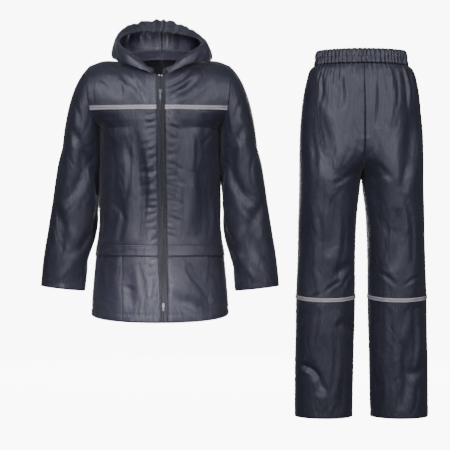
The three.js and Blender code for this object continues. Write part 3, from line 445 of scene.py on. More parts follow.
def body_relief(points, u, level, back):
    """Depth into the surface at each point of the body, in millimetres."""
    x, z = points[..., 0], points[..., 2]
    out = np.abs(x)
    turn = np.clip(u, -1, 1) * HALF_PI
    from_edge = 1 - np.abs(u)
    held = np.cos(turn) * 0.85 + 0.15
    depth = crease_depth(BACK_FOLDS if back else FRONT_FOLDS, x, z, False)
    depth *= np.cos(turn * 0.98)
    depth += BODY_CREASE_SHARE * crease_depth(BACK_CREASES if back else FRONT_CREASES, x, z) * held
    depth += crease_depth(SMALL_BACK if back else SMALL_FRONT, x, z) * held
    depth += crease_depth(BROAD_BACK if back else BROAD_FRONT, x, z, False) * held
    chest = bell(z - CHEST_Z, CHEST_REACH) * smooth_between(out, 60, 112) * smooth_between(-out, -174, -140)
    depth -= CHEST_SWELL * chest
    beside_sleeve = smooth_between(z, -460, -410) * smooth_between(-z, 190, 230)
    depth -= SIDE_SWELL * bell(from_edge * SIDE_ARC, 20) * beside_sleeve
    depth += pucker(from_edge * SIDE_ARC, z, 3.0, 15, 12, 0.8) * smooth_between(z, -185, -215)
    from_shoulder = np.where(z > YOKE_Z + 2, (1 - np.clip(level - YOKE_Z, 0, 1)) * SHOULDER_ARC, SHOULDER_ARC)
    depth += pucker(from_shoulder, np.abs(u) * SIDE_ARC, 5.0, 14, 10, 0.5) * (out > NECK_X)
    from_armhole = np.where(z > ARMPIT_Z, from_edge * SHOULDER_ARC, SHOULDER_ARC)
    depth += pucker(from_armhole, z, 7.0, 16, 13, 0.9)
    depth += pucker(z - WAIST_Z, x, 9.0, 12, 13, 0.8)
    depth += pucker(level - HEM_Z - HEM_TURN, x, 2.0, 13, 12, 0.9)
    if not back:
        beside = np.abs(x - zip_x(z)) - TAPE_HALF
        right = x > zip_x(z)
        swell = 0.35 + 0.65 * smooth_between(z, -120, -240) * smooth_between(z, -700, -540)
        ripple = np.sin(2 * math.pi * (z + 0.5 * beside) / RIPPLE_PITCH + 1.6 * np.sin(z / 29.0))
        depth += RIPPLE_DEPTH * ripple * bell(beside, 9) * swell
        fans = crease_depth(ZIP_CREASES[1], x, z) * right + crease_depth(ZIP_CREASES[-1], x, z) * ~right
        depth += FAN_SHARE * fans
        skirt = smooth_between(z, WAIST_Z + 4, WAIST_Z - 4)
        for seam in SKIRT_SEAM_X.values():
            depth += pucker(x - seam, z, 4.0, 14, 9, 0.6) * skirt
    return depth


def on_body(u, level, back, lift=0.0):
    """Points of the creased cloth on the body's surface, moved out by lift."""
    surface = lambda a, b: body_surface(a, b, back)
    points = surface(u, level)
    inside = np.stack([0 * u, 0 * u, np.minimum(points[:, 2], YOKE_Z)], -1)
    normal = normals_of(surface, u, level, inside)
    return points + normal * (lift - body_relief(points, u, level, back))[:, None]


def body_piece(node, back, starts, ends, levels, shares, columns, lift=0.0, slot="shell_cloth"):
    """starts and ends give u at each level; shares are the steps over the yoke, or none."""
    f = np.linspace(0, 1, columns)
    rows_u, rows_v = [], []
    for level in levels:
        u = starts(level) + (ends(level) - starts(level)) * f
        rows_u.append(u)
        rows_v.append(np.full(columns, float(level)))
    for t in shares:
        u = starts(YOKE_Z) + (ends(YOKE_Z) - starts(YOKE_Z)) * f
        rows_u.append(u)
        rows_v.append(YOKE_Z + t * top_share(u, back))
    u, v = np.array(rows_u), np.array(rows_v)
    points = on_body(u.ravel(), v.ravel(), back, lift).reshape(*u.shape, 3)
    coords = np.stack([u * SIDE_ARC, v], -1)
    cloth_piece(node, *outward(points, coords, BODY_MIDDLE), slot=slot)


def even(low, high, step=STEP):
    return np.linspace(low, high, max(2, int(abs(high - low) / step) + 1))


# %% Fronts, back and skirt
BODY_MIDDLE = np.array([0, 0, -300.0])
SKIRT_LAP = 2.2
UPPER = np.concatenate([even(WAIST_Z, ARMPIT_Z), even(ARMPIT_Z, YOKE_Z, 4)[1:]])
OVER = np.linspace(0, 1, 31)[1:]
SKIRT = even(HEM_Z, WAIST_Z)


def zip_edge(side):
    return lambda level: float(u_at(float(zip_x(min(level, NECK_FRONT_Z))) + side * TAPE_HALF, level, False))


def at_x(x):
    return lambda level: float(u_at(x, level, False))


def at_side(side):
    return lambda level: float(side)


for side, word in SIDES:
    body_piece(f"front_{word}", False, zip_edge(side), at_side(side), UPPER, OVER, 54)
    seam = at_x(SKIRT_SEAM_X[side])
    body_piece(f"skirt_front_{word}", False, zip_edge(side), seam, SKIRT, (), 28)
    under = at_x(SKIRT_SEAM_X[side] - side * SKIRT_LAP)
    body_piece(f"skirt_side_{word}", False, under, at_side(side), SKIRT, (), 26, -0.6)
body_piece("back", True, at_side(-1), at_side(1), UPPER, OVER, 100)
body_piece("skirt_back", True, at_side(-1), at_side(1), SKIRT, (), 100)

# %% [markdown]
# ## The band over the waist seam
# A flat strip is sewn over the waist seam by its upper edge and hangs free below, so it lies a millimetre proud.

# %% Waist band and mesh lining
BAND_TOP_Z = -526
BAND_BOTTOM_Z = -557
BAND_LIFT = 2.0
BAND = even(BAND_BOTTOM_Z, BAND_TOP_Z, 3.5)
LINING_BOTTOM_Z = -225
for side, word in SIDES:
    body_piece(f"waist_band_{word}", False, zip_edge(side), at_side(side), BAND, (), 54, BAND_LIFT)
body_piece("waist_band_back", True, at_side(-1), at_side(1), BAND, (), 90, BAND_LIFT)
LINING_U = float(u_for_nominal(78.0, True))
body_piece("lining_back", True, lambda z: -LINING_U, lambda z: LINING_U, even(LINING_BOTTOM_Z, YOKE_Z, 6),
           np.linspace(0, 0.97, 20)[1:], 40, -2.4, "mesh_lining")

# %% [markdown]
# ## Sleeves
# A sleeve starts at the armhole's loop, turns down over its cap and narrows to the cuff. Its creases are long and
# run down the arm, with short ones across the inner elbow, where the cloth slackens.

# %% Creases of the sleeves: turn and height at each end (turn in hundredths), half width, depth
SLEEVE_FOLDS = np.array([
    (17, -190, 17, -420, 4.5, 8), (30, -260, 30, -560, 4.5, 9), (8, -400, 8, -620, 4, 6),
    (23, -470, 23, -630, 4, -4), (37, -150, 38, -645, 5.5, 8), (62, -200, 62, -600, 6, 6),
    (72, -220, 72, -480, 5, 8), (84, -380, 84, -600, 4.5, 7)], float)
SLEEVE_CREASES = np.array([
    (12, -110, 20, -250, 2.0, 2.6), (24, -90, 27, -230, 2.2, 2.4), (34, -150, 30, -330, 2.0, 2.6),
    (4, -250, 12, -380, 1.8, 2.0), (20, -330, 14, -470, 2.0, 2.6), (36, -400, 33, -590, 2.0, 2.4),
    (13, -470, 15, -610, 1.8, 2.2), (28, -560, 22, -640, 1.6, 1.8), (42, -220, 30, -260, 2.4, 2.0),
    (44, -300, 32, -322, 2.2, 1.8), (42, -380, 34, -420, 2.4, 2.0), (60, -180, 66, -330, 2.2, 2.2),
    (80, -150, 76, -320, 2.2, 2.4), (92, -260, 88, -470, 2.2, 2.4), (66, -400, 70, -600, 2.2, 2.4),
    (98, -420, 96, -600, 2.0, 1.8)], float)
SLEEVE_SMALL = strewn(21, 50, (2, -640), (98, -120), (20, 60), 0, 7, (1.4, 2.4), (0.15, 0.5))
SLEEVE_SMALL[:, 2] = SLEEVE_SMALL[:, 0] + np.clip(SLEEVE_SMALL[:, 2] - SLEEVE_SMALL[:, 0], -5, 5)
CAP_ROWS = 44
SLEEVE_AROUND = 96
CAP_OUT = 0.78
CAP_DOWN = 0.22


def sleeve_relief(side, turn, z, from_armhole):
    hundred = turn * 100 - (2.5 if side > 0 else 0)
    depth = crease_depth(SLEEVE_FOLDS, hundred, z, False)
    depth += 0.5 * crease_depth(SLEEVE_CREASES, hundred, z) + crease_depth(SLEEVE_SMALL, hundred, z)
    depth *= smooth_between(from_armhole, 0, 45)
    against_body = smooth_between(z, -440, -400) * smooth_between(from_armhole, 3, 18)
    swell = 2.0 + 2.2 * smooth_between(z, -330, -270)
    depth -= swell * bell(hundred - 50, 8) * against_body
    depth += pucker(from_armhole + 1.5, turn * 420, 6.0, 15, 16, 1.0) * smooth_between(from_armhole, -2, 6)
    depth += pucker(z - SLEEVE_Z[0] - 14, turn * 360, 8.0, 12, 11, 0.9)
    return depth


def armhole_ring(side, count):
    """Points round the armhole from the shoulder over the front to the armpit and up the back."""
    half = count // 2
    place = np.linspace(0, len(OPENING_Z) + 5, half + 1)
    share = np.clip(1 - place / 6, 0, 1)
    height = np.interp(place, range(6, 12), OPENING_Z[::-1])
    level = np.where(share > 0, YOKE_Z + share, height)
    front, rear = (on_body(np.full(half + 1, float(side)), level, back) for back in (False, True))
    return np.concatenate([front, rear[1:-1][::-1]])


def sleeve_ring(side, z, count):
    outer, inner = along(z, SLEEVE_Z, SLEEVE_OUTER), along(z, SLEEVE_Z, SLEEVE_INNER)
    depth = along(z, SLEEVE_Z, SLEEVE_DEPTH)
    angle = np.arange(count) / count * 2 * math.pi
    x = side * ((outer + inner) / 2 + (outer - inner) / 2 * np.cos(angle))
    share = max(0, (CUFF_TILT_FROM_Z - z) / (CUFF_TILT_FROM_Z - SLEEVE_Z[0]))
    return np.stack([x, -depth * np.sin(angle), z + CUFF_TILT * share * np.cos(angle)], -1)


def sleeve_points(side, count=SLEEVE_AROUND):
    start = armhole_ring(side, count)
    tuck = smooth_between(start[:, 2], -175, -145)[:, None]
    start = start + tuck * (0.008 * (start.mean(0) - start) - np.array([side * 1.5, 0, 0]))
    end = sleeve_ring(side, SLEEVE_Z[-1], count)
    bend = np.stack([start[:, 0] + CAP_OUT * (end[:, 0] - start[:, 0]), (start[:, 1] + end[:, 1]) / 2,
                     start[:, 2] + CAP_DOWN * (end[:, 2] - start[:, 2])], -1)
    rows = []
    for t in np.linspace(0, 1, CAP_ROWS):
        rows.append((1 - t) ** 2 * start + 2 * t * (1 - t) * bend + t * t * end)
    for z in even(SLEEVE_Z[-1], SLEEVE_Z[0])[1:]:
        rows.append(sleeve_ring(side, z, count))
    return np.array(rows)


def grid_normals(points, closed):
    if closed:
        across = np.roll(points, -1, 1) - np.roll(points, 1, 1)
    else:
        across = np.gradient(points, axis=1)
    n = np.cross(across, np.gradient(points, axis=0))
    return n / (np.linalg.norm(n, axis=-1, keepdims=True) + SMALL)


def ring_normals(grid):
    """Normals of a tube, turned away from the middle of each ring."""
    n = grid_normals(grid, True)
    middle = grid.mean(axis=1, keepdims=True)
    return n * np.where((n * (grid - middle)).sum(-1, keepdims=True) < 0, -1, 1)


def run_down(grid):
    """How far each point lies from the grid's first row, along the cloth."""
    steps = np.linalg.norm(np.diff(grid, axis=0), axis=2)
    return np.concatenate([np.zeros((1, grid.shape[1])), np.cumsum(steps, 0)])


for side, word in SIDES:
    grid = sleeve_points(side)
    normal = ring_normals(grid)
    run = run_down(grid)
    turn = np.broadcast_to(np.arange(grid.shape[1]) / grid.shape[1], run.shape)
    relief = sleeve_relief(side, turn, grid[..., 2], run)
    grid = grid - normal * relief[..., None]
    coords = np.stack([turn * 400, -run], -1)
    if side > 0:
        grid, coords = grid[:, ::-1], coords[:, ::-1]
    cloth_piece(f"sleeve_{word}", grid, coords, closed=True)

# %% [markdown]
# ## The hood
# The hood lies open. It rises from the neckline, rolls outwards over the shoulders, climbs to its crown and turns
# in to the face edge, which is drawn up by its casing at the top. Each section is a curve through five stations.

# %% Sections of the hood, from the zip on the left round the back to the zip on the right
HOOD_P = [-1, -0.8, -0.62, -0.46, -0.24, 0, 0.24, 0.46, 0.62, 0.8, 1]
HOOD_BELLY = [(-17, -122, -50), (-84, -120, -26), (-124, -66, -6), (-138, 14, 14), (-104, 98, 34), (0, 124, 44),
              (106, 98, 34), (146, 14, 8), (140, -62, -9), (92, -120, -22), (30, -122, -50)]
HOOD_TOP = [(-19, -123, -47), (-82, -122, 0), (-120, -66, 42), (-126, 8, 66), (-98, 60, 105), (2, 84, 126),
            (82, 62, 99), (130, 8, 58), (130, -64, 38), (88, -122, 2), (31, -123, -47)]
HOOD_EDGE = [(-18, -121, -43), (-52, -112, -10), (-104, -62, 31), (-110, -20, 60), (-66, 0, 80), (0, 10, 82),
             (68, 0, 72), (112, -20, 54), (110, -62, 30), (60, -112, -8), (30, -121, -43)]
HOOD_STAND = 14
HOOD_STAND_SHARE = 0.3
HOOD_LIFT = 0.6
HOOD_TUCK = (0.975, 0.975, 1)
HOOD_TUCK_DOWN = 7
HOOD_ROWS = 70
HOOD_COLUMNS = 181
HOOD_ROUND = 330
HOOD_UP = 240
HOOD_TO_CASING = 230
GATHER_DEPTH = 3.2


def knot_curve(knots, values, p):
    """A smooth curve in space through a row of stations."""
    values = np.array(values, float)
    slope = np.gradient(values, np.array(knots, float), axis=0)
    i = np.clip(np.searchsorted(knots, p) - 1, 0, len(knots) - 2)
    x0, x1 = np.array(knots)[i], np.array(knots)[i + 1]
    t = ((p - x0) / (x1 - x0))[:, None]
    h = (x1 - x0)[:, None]
    return ((1 + 2 * t) * (1 - t) ** 2 * values[i] + t * (1 - t) ** 2 * h * slope[i]
            + t * t * (3 - 2 * t) * values[i + 1] + t * t * (t - 1) * h * slope[i + 1])


def hood_seam(columns):
    """The neckline from the zip on the left round the back to the zip on the right, on the body's surface."""
    xs = [TAPE_HALF, 32, 50, 65, 74, NECK_X]
    front = u_for_nominal(np.array(xs), False)
    back = u_for_nominal(np.array([-80, -68, -54, -38, -20, 0, 20, 38, 54, 68, 80.0]), True)
    rows = [(-front, False), (back[1:-1], True), (front[::-1], False)]
    points = []
    for u, is_back in rows:
        v = YOKE_Z + top_share(u, is_back)
        points.append(body_surface(u, v, is_back))
    ring = np.concatenate(points)
    knots = np.linspace(-1, 1, len(ring))
    return knot_curve(knots, ring, np.linspace(-1, 1, columns)) + np.array([0, 0, HOOD_LIFT])


def hood_gather(p, t):
    """The crown's gathers: ridges across the casing that fade towards the sides and down the back."""
    fade = np.clip(1 - np.abs(p) / 0.34, 0, 1) * smooth_between(t, 0.5, 0.78)
    phase = p * 92 + 1.3 * np.sin(p * 31)
    return fade * GATHER_DEPTH * (np.sin(phase) + 0.3 * np.sin(2.1 * phase + 1))


HOOD_CREASES = np.array([
    (-70, 30, -40, 80, 2.4, 2.6), (-55, 45, -30, 95, 2.0, 2.2), (-86, 20, -60, 70, 2.2, 2.4),
    (62, 28, 38, 86, 2.4, 2.6), (80, 22, 52, 74, 2.2, 2.6), (44, 40, 22, 96, 2.0, 2.0),
    (-20, 30, -14, 92, 2.2, 2.0), (12, 26, 18, 90, 2.2, 2.2), (-95, 30, -72, 60, 2.0, 2.0),
    (92, 30, 70, 66, 2.0, 2.0), (-34, 18, -26, 60, 2.4, 2.2), (30, 14, 30, 58, 2.4, 2.2)], float)


def hood_grid(columns, rows):
    p = np.linspace(-1, 1, columns)
    seam = hood_seam(columns)
    belly, top, edge = (knot_curve(HOOD_P, table, p) for table in (HOOD_BELLY, HOOD_TOP, HOOD_EDGE))
    stand = seam + HOOD_STAND_SHARE * (belly - seam) + np.array([0, 0, HOOD_STAND])
    stations = np.stack([seam, stand, belly, top, edge])
    t = np.linspace(0, 1, rows)
    grid = np.stack([knot_curve(np.linspace(0, 1, 5), stations[:, j], t) for j in range(columns)], 1)
    inward = seam * HOOD_TUCK - (0, 0, HOOD_TUCK_DOWN)
    grid = np.concatenate([[inward, (inward + seam) / 2], grid])
    t = np.concatenate([[-0.03, -0.015], t])
    pp, tt = np.meshgrid(p, t)
    around = pp * HOOD_ROUND
    relief = crease_depth(HOOD_CREASES, pp * 100, tt * 100)
    relief += pucker(tt * HOOD_TO_CASING, around, 4.0, 12, 9, 0.9) * smooth_between(tt, 0, 0.02)
    relief += pucker((1 - tt) * HOOD_TO_CASING - 16, pp * 400, 5.0, 11, 10, 1.0)
    relief += 0.8 * bell(around, 1.8) + pucker(around, tt * HOOD_UP, 2.0, 12, 7, 0.4)
    grid = grid + grid_normals(grid, False) * (relief - hood_gather(pp, tt))[..., None]
    return grid, np.stack([around, tt * HOOD_UP], -1)


hood, hood_coords = hood_grid(HOOD_COLUMNS, HOOD_ROWS)
middle = HOOD_COLUMNS // 2
for word, span in (("left", slice(0, middle + 1)), ("right", slice(middle, None))):
    cloth_piece(f"hood_{word}", hood[::-1, span], hood_coords[::-1, span])

# %% [markdown]
# ## The trousers
# Hip sections split into two legs over a hand's width above the crotch, which gives the curved seat seam. The
# elastic draws the top into deep gathers that fade towards the thigh.

# %% Creases of the trousers, across from the middle and up, in millimetres
TROUSER_FRONT_FOLDS = np.array([
    (-74, -40, -70, -150, 13, 6), (-34, -50, -20, -300, 15, 7), (34, -40, 36, -200, 13, 6),
    (132, -150, 104, -380, 17, 7), (-120, -120, -60, -330, 18, -4), (-80, -615, -28, -575, 13, 6),
    (-74, -740, -24, -775, 13, 6), (-170, -855, -128, -900, 14, 8), (-128, -880, -122, -950, 13, 5),
    (106, -790, 108, -990, 14, 8), (178, -860, 124, -895, 13, 6), (-90, -390, -100, -560, 16, 5),
    (90, -420, 78, -600, 16, 6), (-60, -900, -66, -995, 13, 5)], float)
TROUSER_BACK_FOLDS = np.array([
    (-60, -40, -54, -210, 15, 6), (62, -40, 58, -190, 15, 6), (20, -60, 16, -230, 14, 5),
    (-120, -250, -60, -360, 17, 6), (122, -260, 64, -370, 17, 7), (-140, -620, -60, -650, 14, 7),
    (60, -625, 146, -655, 14, 7), (-100, -720, -96, -960, 15, 6), (104, -720, 98, -980, 15, 6)], float)
TROUSER_FRONT_CREASES = np.array([
    (-126, -20, -118, -130, 5, 3.0), (-100, -14, -92, -170, 5, 2.6), (-52, -16, -46, -190, 5, 2.8),
    (-14, -16, -8, -150, 5, 2.4), (8, -14, 14, -170, 5, 2.6), (52, -16, 58, -210, 5, 2.8),
    (80, -14, 92, -150, 5, 2.8), (104, -16, 122, -140, 5, 3.0), (122, -20, 140, -120, 5, 2.6),
    (-30, -180, -60, -300, 7, 2.2), (18, -200, 48, -320, 7, 2.4), (-10, -300, -90, -360, 7, 2.4),
    (10, -290, 80, -350, 7, 2.2), (-150, -200, -146, -420, 7, 2.0), (160, -160, 150, -360, 6, 2.2),
    (-60, -420, -70, -600, 8, 2.4), (-130, -420, -136, -640, 7, 2.0), (60, -430, 50, -560, 7, 2.0),
    (120, -400, 130, -600, 7, 2.4), (-60, -650, -28, -600, 5, 2.6), (-110, -660, -60, -625, 5, 2.2),
    (-160, -690, -120, -660, 5, 2.2), (40, -600, 90, -640, 6, 2.4), (110, -640, 170, -610, 5, 2.2),
    (-84, -760, -96, -960, 7, 2.4), (-130, -700, -150, -820, 6, 2.2), (-40, -800, -44, -940, 6, 2.2),
    (-180, -862, -134, -884, 7, 5.0), (-140, -872, -120, -932, 7, 4.0), (30, -880, 40, -990, 9, 4.0),
    (-120, -900, -96, -990, 5, 2.4), (70, -700, 64, -860, 7, 2.2), (140, -700, 130, -900, 7, 2.6),
    (84, -900, 92, -1000, 5, 2.2), (150, -920, 140, -1000, 5, 2.4), (40, -860, 50, -980, 6, 2.0)], float)
TROUSER_BACK_CREASES = strewn(31, 34, (-160, -980), (160, -60), (80, 220), 0, 16, (5, 8), (1.6, 3.0))
TROUSER_BROAD = {
    False: strewn(34, 34, (-170, -990), (170, -120), (120, 300), 0, 10, (12, 22), (1.6, 3.6)),
    True: strewn(35, 34, (-170, -990), (170, -120), (120, 300), 0, 10, (12, 22), (1.6, 3.6)),
}
TROUSER_SMALL = {
    False: strewn(32, 90, (-180, -1000), (180, -60), (20, 70), 0, 30, (3.6, 7.0), (0.15, 0.7)),
    True: strewn(33, 90, (-180, -1000), (180, -60), (20, 70), 0, 30, (3.6, 7.0), (0.15, 0.7)),
}
KNEE_Z = -676
LEG_COLUMNS = 54
STEP_LEG_Z = 0.5
LEG_ARC = 260
LEG_CREASE_SHARE = 0.9
WAIST_GATHER = 2.3
LEG_LAP = np.array([1.6, 0.7, 0])


def leg_section(z, back):
    blend = smooth_between(CROTCH_Z + CROTCH_BLEND - z, 0, CROTCH_BLEND)
    outer, inner = along(z, LEG_Z, LEG_OUTER), along(z, LEG_Z, LEG_INNER)
    hip_depth = along(z, HIP_Z, HIP_BACK if back else HIP_FRONT)
    leg_depth = along(z, LEG_Z, LEG_BACK if back else LEG_FRONT)
    half = along(z, HIP_Z, HIP_WIDTH) * (1 - blend) + (outer - inner) / 2 * blend
    return (outer + inner) / 2 * blend, half, hip_depth * (1 - blend) + leg_depth * blend


def leg_surface(share, z, side, back):
    middle, half, depth = leg_section(z, back)
    inner = np.arcsin(np.minimum(1, middle / half))
    angle = -HALF_PI + share * (inner + HALF_PI)
    x = side * (middle - half * np.sin(angle))
    y = depth * np.cos(angle)
    return np.stack([TROUSERS_X + x, y if back else -y, z], -1)


def leg_relief(points, share, z, back):
    x = points[..., 0] - TROUSERS_X
    held = 0.15 + 0.85 * np.sin(np.clip(share, 0, 1) * math.pi) ** 0.5
    depth = crease_depth(TROUSER_BACK_FOLDS if back else TROUSER_FRONT_FOLDS, x, z, False)
    depth *= np.clip(np.abs(points[..., 1]) / 90, 0, 1)
    creases = TROUSER_BACK_CREASES if back else TROUSER_FRONT_CREASES
    depth += LEG_CREASE_SHARE * crease_depth(creases, x, z) * held
    depth += crease_depth(TROUSER_SMALL[back], x, z) * held
    depth += crease_depth(TROUSER_BROAD[back], x, z, False) * held
    arc = np.arctan2(x, np.abs(points[..., 1]) * 1.4) * 150
    phase = arc * 0.5 + 1.4 * np.sin(arc * 0.11) + (2.0 if back else 0)
    gather = np.sin(phase) + 0.5 * np.sin(arc * 0.93 + z / 40)
    reach = -95 - 45 * np.sin(arc * 0.07 + 1) ** 2
    depth += WAIST_GATHER * gather * smooth_between(z, reach, -16)
    depth += pucker(share * 300, z, 3.0, 15, 12, 0.8) + pucker((1 - share) * LEG_ARC, z, 6.0, 15, 12, 0.8)
    depth += pucker(z - TROUSERS_HEM_Z - 18, x, 5.0, 12, 12, 1.1)
    return depth


def on_leg(share, z, side, back, lift=0.0):
    """Points of the creased cloth on one leg's surface, moved out by lift."""
    surface = lambda a, b: leg_surface(a, b, side, back)
    points = surface(share, z)
    middle = TROUSERS_X + side * leg_section(z, back)[0]
    normal = normals_of(surface, share, z, np.stack([middle, 0 * middle, z], -1), STEP_LEG_Z)
    return points + normal * (lift - leg_relief(points, share, z, back))[:, None]


LEG_ROWS = even(TROUSERS_HEM_Z, CASING_BOTTOM_Z)
for side, word in SIDES:
    for back, face in ((False, "front"), (True, "back")):
        share, z = np.meshgrid(np.linspace(0, 1, LEG_COLUMNS), LEG_ROWS)
        grid = on_leg(share.ravel(), z.ravel(), side, back).reshape(*z.shape, 3)
        if side < 0:
            tuck = (share == 1) * (z > CROTCH_Z)
            grid = grid + tuck[..., None] * LEG_LAP * (1, -1 if back else 1, 1)
        coords = np.stack([share * LEG_ARC, z], -1)
        leg_middle = np.array([TROUSERS_X + side * 90.0, 0, -500])
        cloth_piece(f"leg_{face}_{word}", *outward(grid, coords, leg_middle))

# %% [markdown]
# ## The elastic waist
# The casing is a turned hem with the elastic inside. It is drawn in all round, so close rounded gathers cross it,
# and one row of stitching holds its lower edge.

# %% Waistband
GATHERS = 60
POINTS_A_GATHER = 14
GATHER_POINTS = GATHERS * POINTS_A_GATHER
GATHER_HEIGHT = 1.7
CASING_PROFILE = [  # height, swell outwards, share of the gathers' waves, from the outer edge over the top
    (-17, 3.6, 0.9), (-9, 3.0, 1.0), (0, 0.4, 0.75), (4, 1.2, 0.9), (12, 0.4, 1.0), (19, -1.4, 0.9),
    (23, -3.0, 0.75), (24, -4.6, 0.7), (21, -6.2, 0.6), (10, -5.8, 0.8), (-4, -5.2, 0.7), (-19, -5.6, 0.5)]


def casing_grid():
    rng = np.random.default_rng(41)
    angle = np.arange(GATHER_POINTS) / GATHER_POINTS * 2 * math.pi
    drift = 0.35 * np.sin(angle * 5 + 1) + 0.3 * np.sin(angle * 11 + 2)
    phase = GATHERS * angle + 1.5 * drift * 2
    starts = np.arange(0, GATHER_POINTS, POINTS_A_GATHER)
    tall = 0.65 + 0.35 * np.interp(np.arange(GATHER_POINTS), starts, rng.uniform(0, 1.4, GATHERS))
    crest = (0.5 + 0.5 * np.cos(phase)) ** 0.7 * 2 - 1
    depth = np.where(np.sin(angle) > 0, HIP_FRONT[-1], HIP_BACK[-1])
    normal = np.stack([np.cos(angle) / HIP_WIDTH[-1], np.sin(angle) / depth], -1)
    normal /= np.linalg.norm(normal, axis=1, keepdims=True)
    rows = []
    zs = np.array([row[0] for row in CASING_PROFILE], float)
    t = np.linspace(0, len(zs) - 1, 30)
    for place in t:
        z, swell, wave = (np.interp(place, range(len(zs)), column) for column in zip(*CASING_PROFILE))
        fine = 0.5 * np.sin(phase * 2.3 + z * 0.2)
        out = swell + (GATHER_HEIGHT * crest * tall + fine) * wave
        x = TROUSERS_X + HIP_WIDTH[-1] * np.cos(angle) + normal[:, 0] * out
        y = -depth * np.sin(angle) - normal[:, 1] * out
        rows.append(np.stack([x, y, z + 0.7 * crest * tall * (z > 10)], -1))
    grid = np.array(rows)
    return grid, flat_places(angle * 120, (t * 5)[:, None], grid.shape[:2])


cloth_piece("waistband", *casing_grid(), closed=True, thickness=0.8)

# %% [markdown]
# ## Reflective braid
# The braid lies on the cloth and follows every ripple of it. It is made from the same surface, moved out, and its
# darker middle line comes from its own coordinates.

# %% Braid on the chest and round the knees
BRAID_Z = -144
BRAID_TALL = 12
KNEE_TALL = 11
KNEE_DIP = 9
BRAID_ROWS = 9
BRAID_END = 0.996
for side, word in SIDES:
    levels = np.linspace(BRAID_Z - BRAID_TALL / 2, BRAID_Z + BRAID_TALL / 2, BRAID_ROWS)
    end = lambda level, s=side: s * BRAID_END
    body_piece(f"braid_chest_{word}", False, zip_edge(side), end, levels, (), 70, 1.2, "reflective_braid")


def ring_round_leg(side, levels, columns, lift):
    """A strip all round one leg, from the outer seam over the front to the inner seam and back."""
    rows, flats = [], []
    for z in levels:
        ring = []
        for back in (False, True):
            share = np.linspace(0, 1, columns)
            share = share[::-1][1:-1] if back else share
            level = z + KNEE_DIP * (0.5 - (0 if back else 1) * np.sin(math.pi * share))
            ring.append(on_leg(share, level, side, back, lift))
        rows.append(np.concatenate(ring))
        flats.append(np.stack([np.linspace(0, 480, len(rows[-1])), np.full(len(rows[-1]), z)], -1))
    return np.array(rows), np.array(flats)


for side, word in SIDES:
    levels = np.linspace(KNEE_Z - KNEE_TALL / 2, KNEE_Z + KNEE_TALL / 2, BRAID_ROWS)
    grid, coords = ring_round_leg(side, levels, LEG_COLUMNS, 1.1)
    if side < 0:
        grid, coords = grid[:, ::-1], coords[:, ::-1]
    cloth_piece(f"braid_knee_{word}", grid, coords, "reflective_braid", closed=True)

# %% [markdown]
# ## The zip
# The tape is woven, and the coil's teeth are short rounded bars that cross the middle, one each 1.9 mm. The
# sliders part the teeth at both ends.

# %% Tapes and coil
SLIDER_Z = {"top": -102.0, "bottom": -690.0}
TEETH_PITCH = 1.9
TOOTH_HALF = 1.35
TOOTH_RADIUS = 0.72
SLIDER_REACH = 4.5
COIL_LIFT = 1.3


def front_point(offset, z):
    """Points on the front at a distance beside the zip's line; z may lie over the yoke."""
    z = np.asarray(z, float)
    climb = np.clip((z - YOKE_Z) / (float(shoulder_line(float(ZIP_TOP_X), False)) - YOKE_Z), 0, 1)
    share = np.arcsin(climb ** (1 / ROUNDNESS)) / HALF_PI
    level = np.where(z > YOKE_Z, YOKE_Z + share, z)
    u = u_at(zip_x(np.minimum(z, NECK_FRONT_Z)) + offset, level, False)
    return body_surface(u, level, False)


ZIP_TOP_Z = -54.0
for side, word in SIDES:
    z = even(HEM_Z, ZIP_TOP_Z, 4)
    offsets = np.linspace(-0.6, TAPE_HALF + 1.5, 9) * side
    rows = []
    for offset in offsets:
        points = front_point(offset, z)
        edge = abs(offset) / TAPE_HALF
        wave = 0.5 * np.sin(z / 9 + 2 * side) * np.sin(z / 31)
        parted = smooth_between(z, SLIDER_Z["top"], ZIP_TOP_Z) * 0.9
        points[:, 1] += 0.5 + 1.0 * edge + wave * edge + (0.4 if side < 0 and offset > 0 else 0.0)
        points[:, 0] += side * parted * (1 - edge)
        rows.append(points)
    grid = np.stack(rows, 1)
    coords = flat_places(offsets, z[:, None], grid.shape[:2])
    cloth_piece(f"zip_tape_{word}", *outward(grid, coords, BODY_MIDDLE), "zip_tape", thickness=0.6)
print("tapes made")


BAR_PROFILE = ((-1, 0.55), (-0.8, 1), (0.8, 1), (1, 0.55))


def bars(name, rows, sides=6):
    """Many short bars in one mesh. Each row is a middle, an axis, a half length and a radius, in mm."""
    vertices, faces = [], []
    ring = [(math.cos(a), math.sin(a)) for a in np.arange(sides) * 2 * math.pi / sides]
    for middle, axis, half, radius in rows:
        axis = np.array(axis, float) / np.linalg.norm(axis)
        side = np.cross(axis, (0, 0, 1.0) if abs(axis[2]) < 0.9 else (1.0, 0, 0))
        side /= np.linalg.norm(side)
        other = np.cross(axis, side)
        base = len(vertices)
        for place, size in BAR_PROFILE:
            for c, s in ring:
                around = (side * c + other * s) * radius * size
                vertices.append(np.array(middle) + axis * half * place + around)
        for k in range(3):
            low, high = base + k * sides, base + (k + 1) * sides
            for i in range(sides):
                j = (i + 1) % sides
                faces.append((low + i, low + j, high + j, high + i))
        faces.append(tuple(base + i for i in range(sides - 1, -1, -1)))
        faces.append(tuple(base + 3 * sides + i for i in range(sides)))
    mesh = bpy.data.meshes.new(name)
    mesh.from_pydata((np.array(vertices) * MM).tolist(), [], faces)
    mesh.shade_smooth()
    PIECES[name] = add_object(name, mesh)
    return PIECES[name]


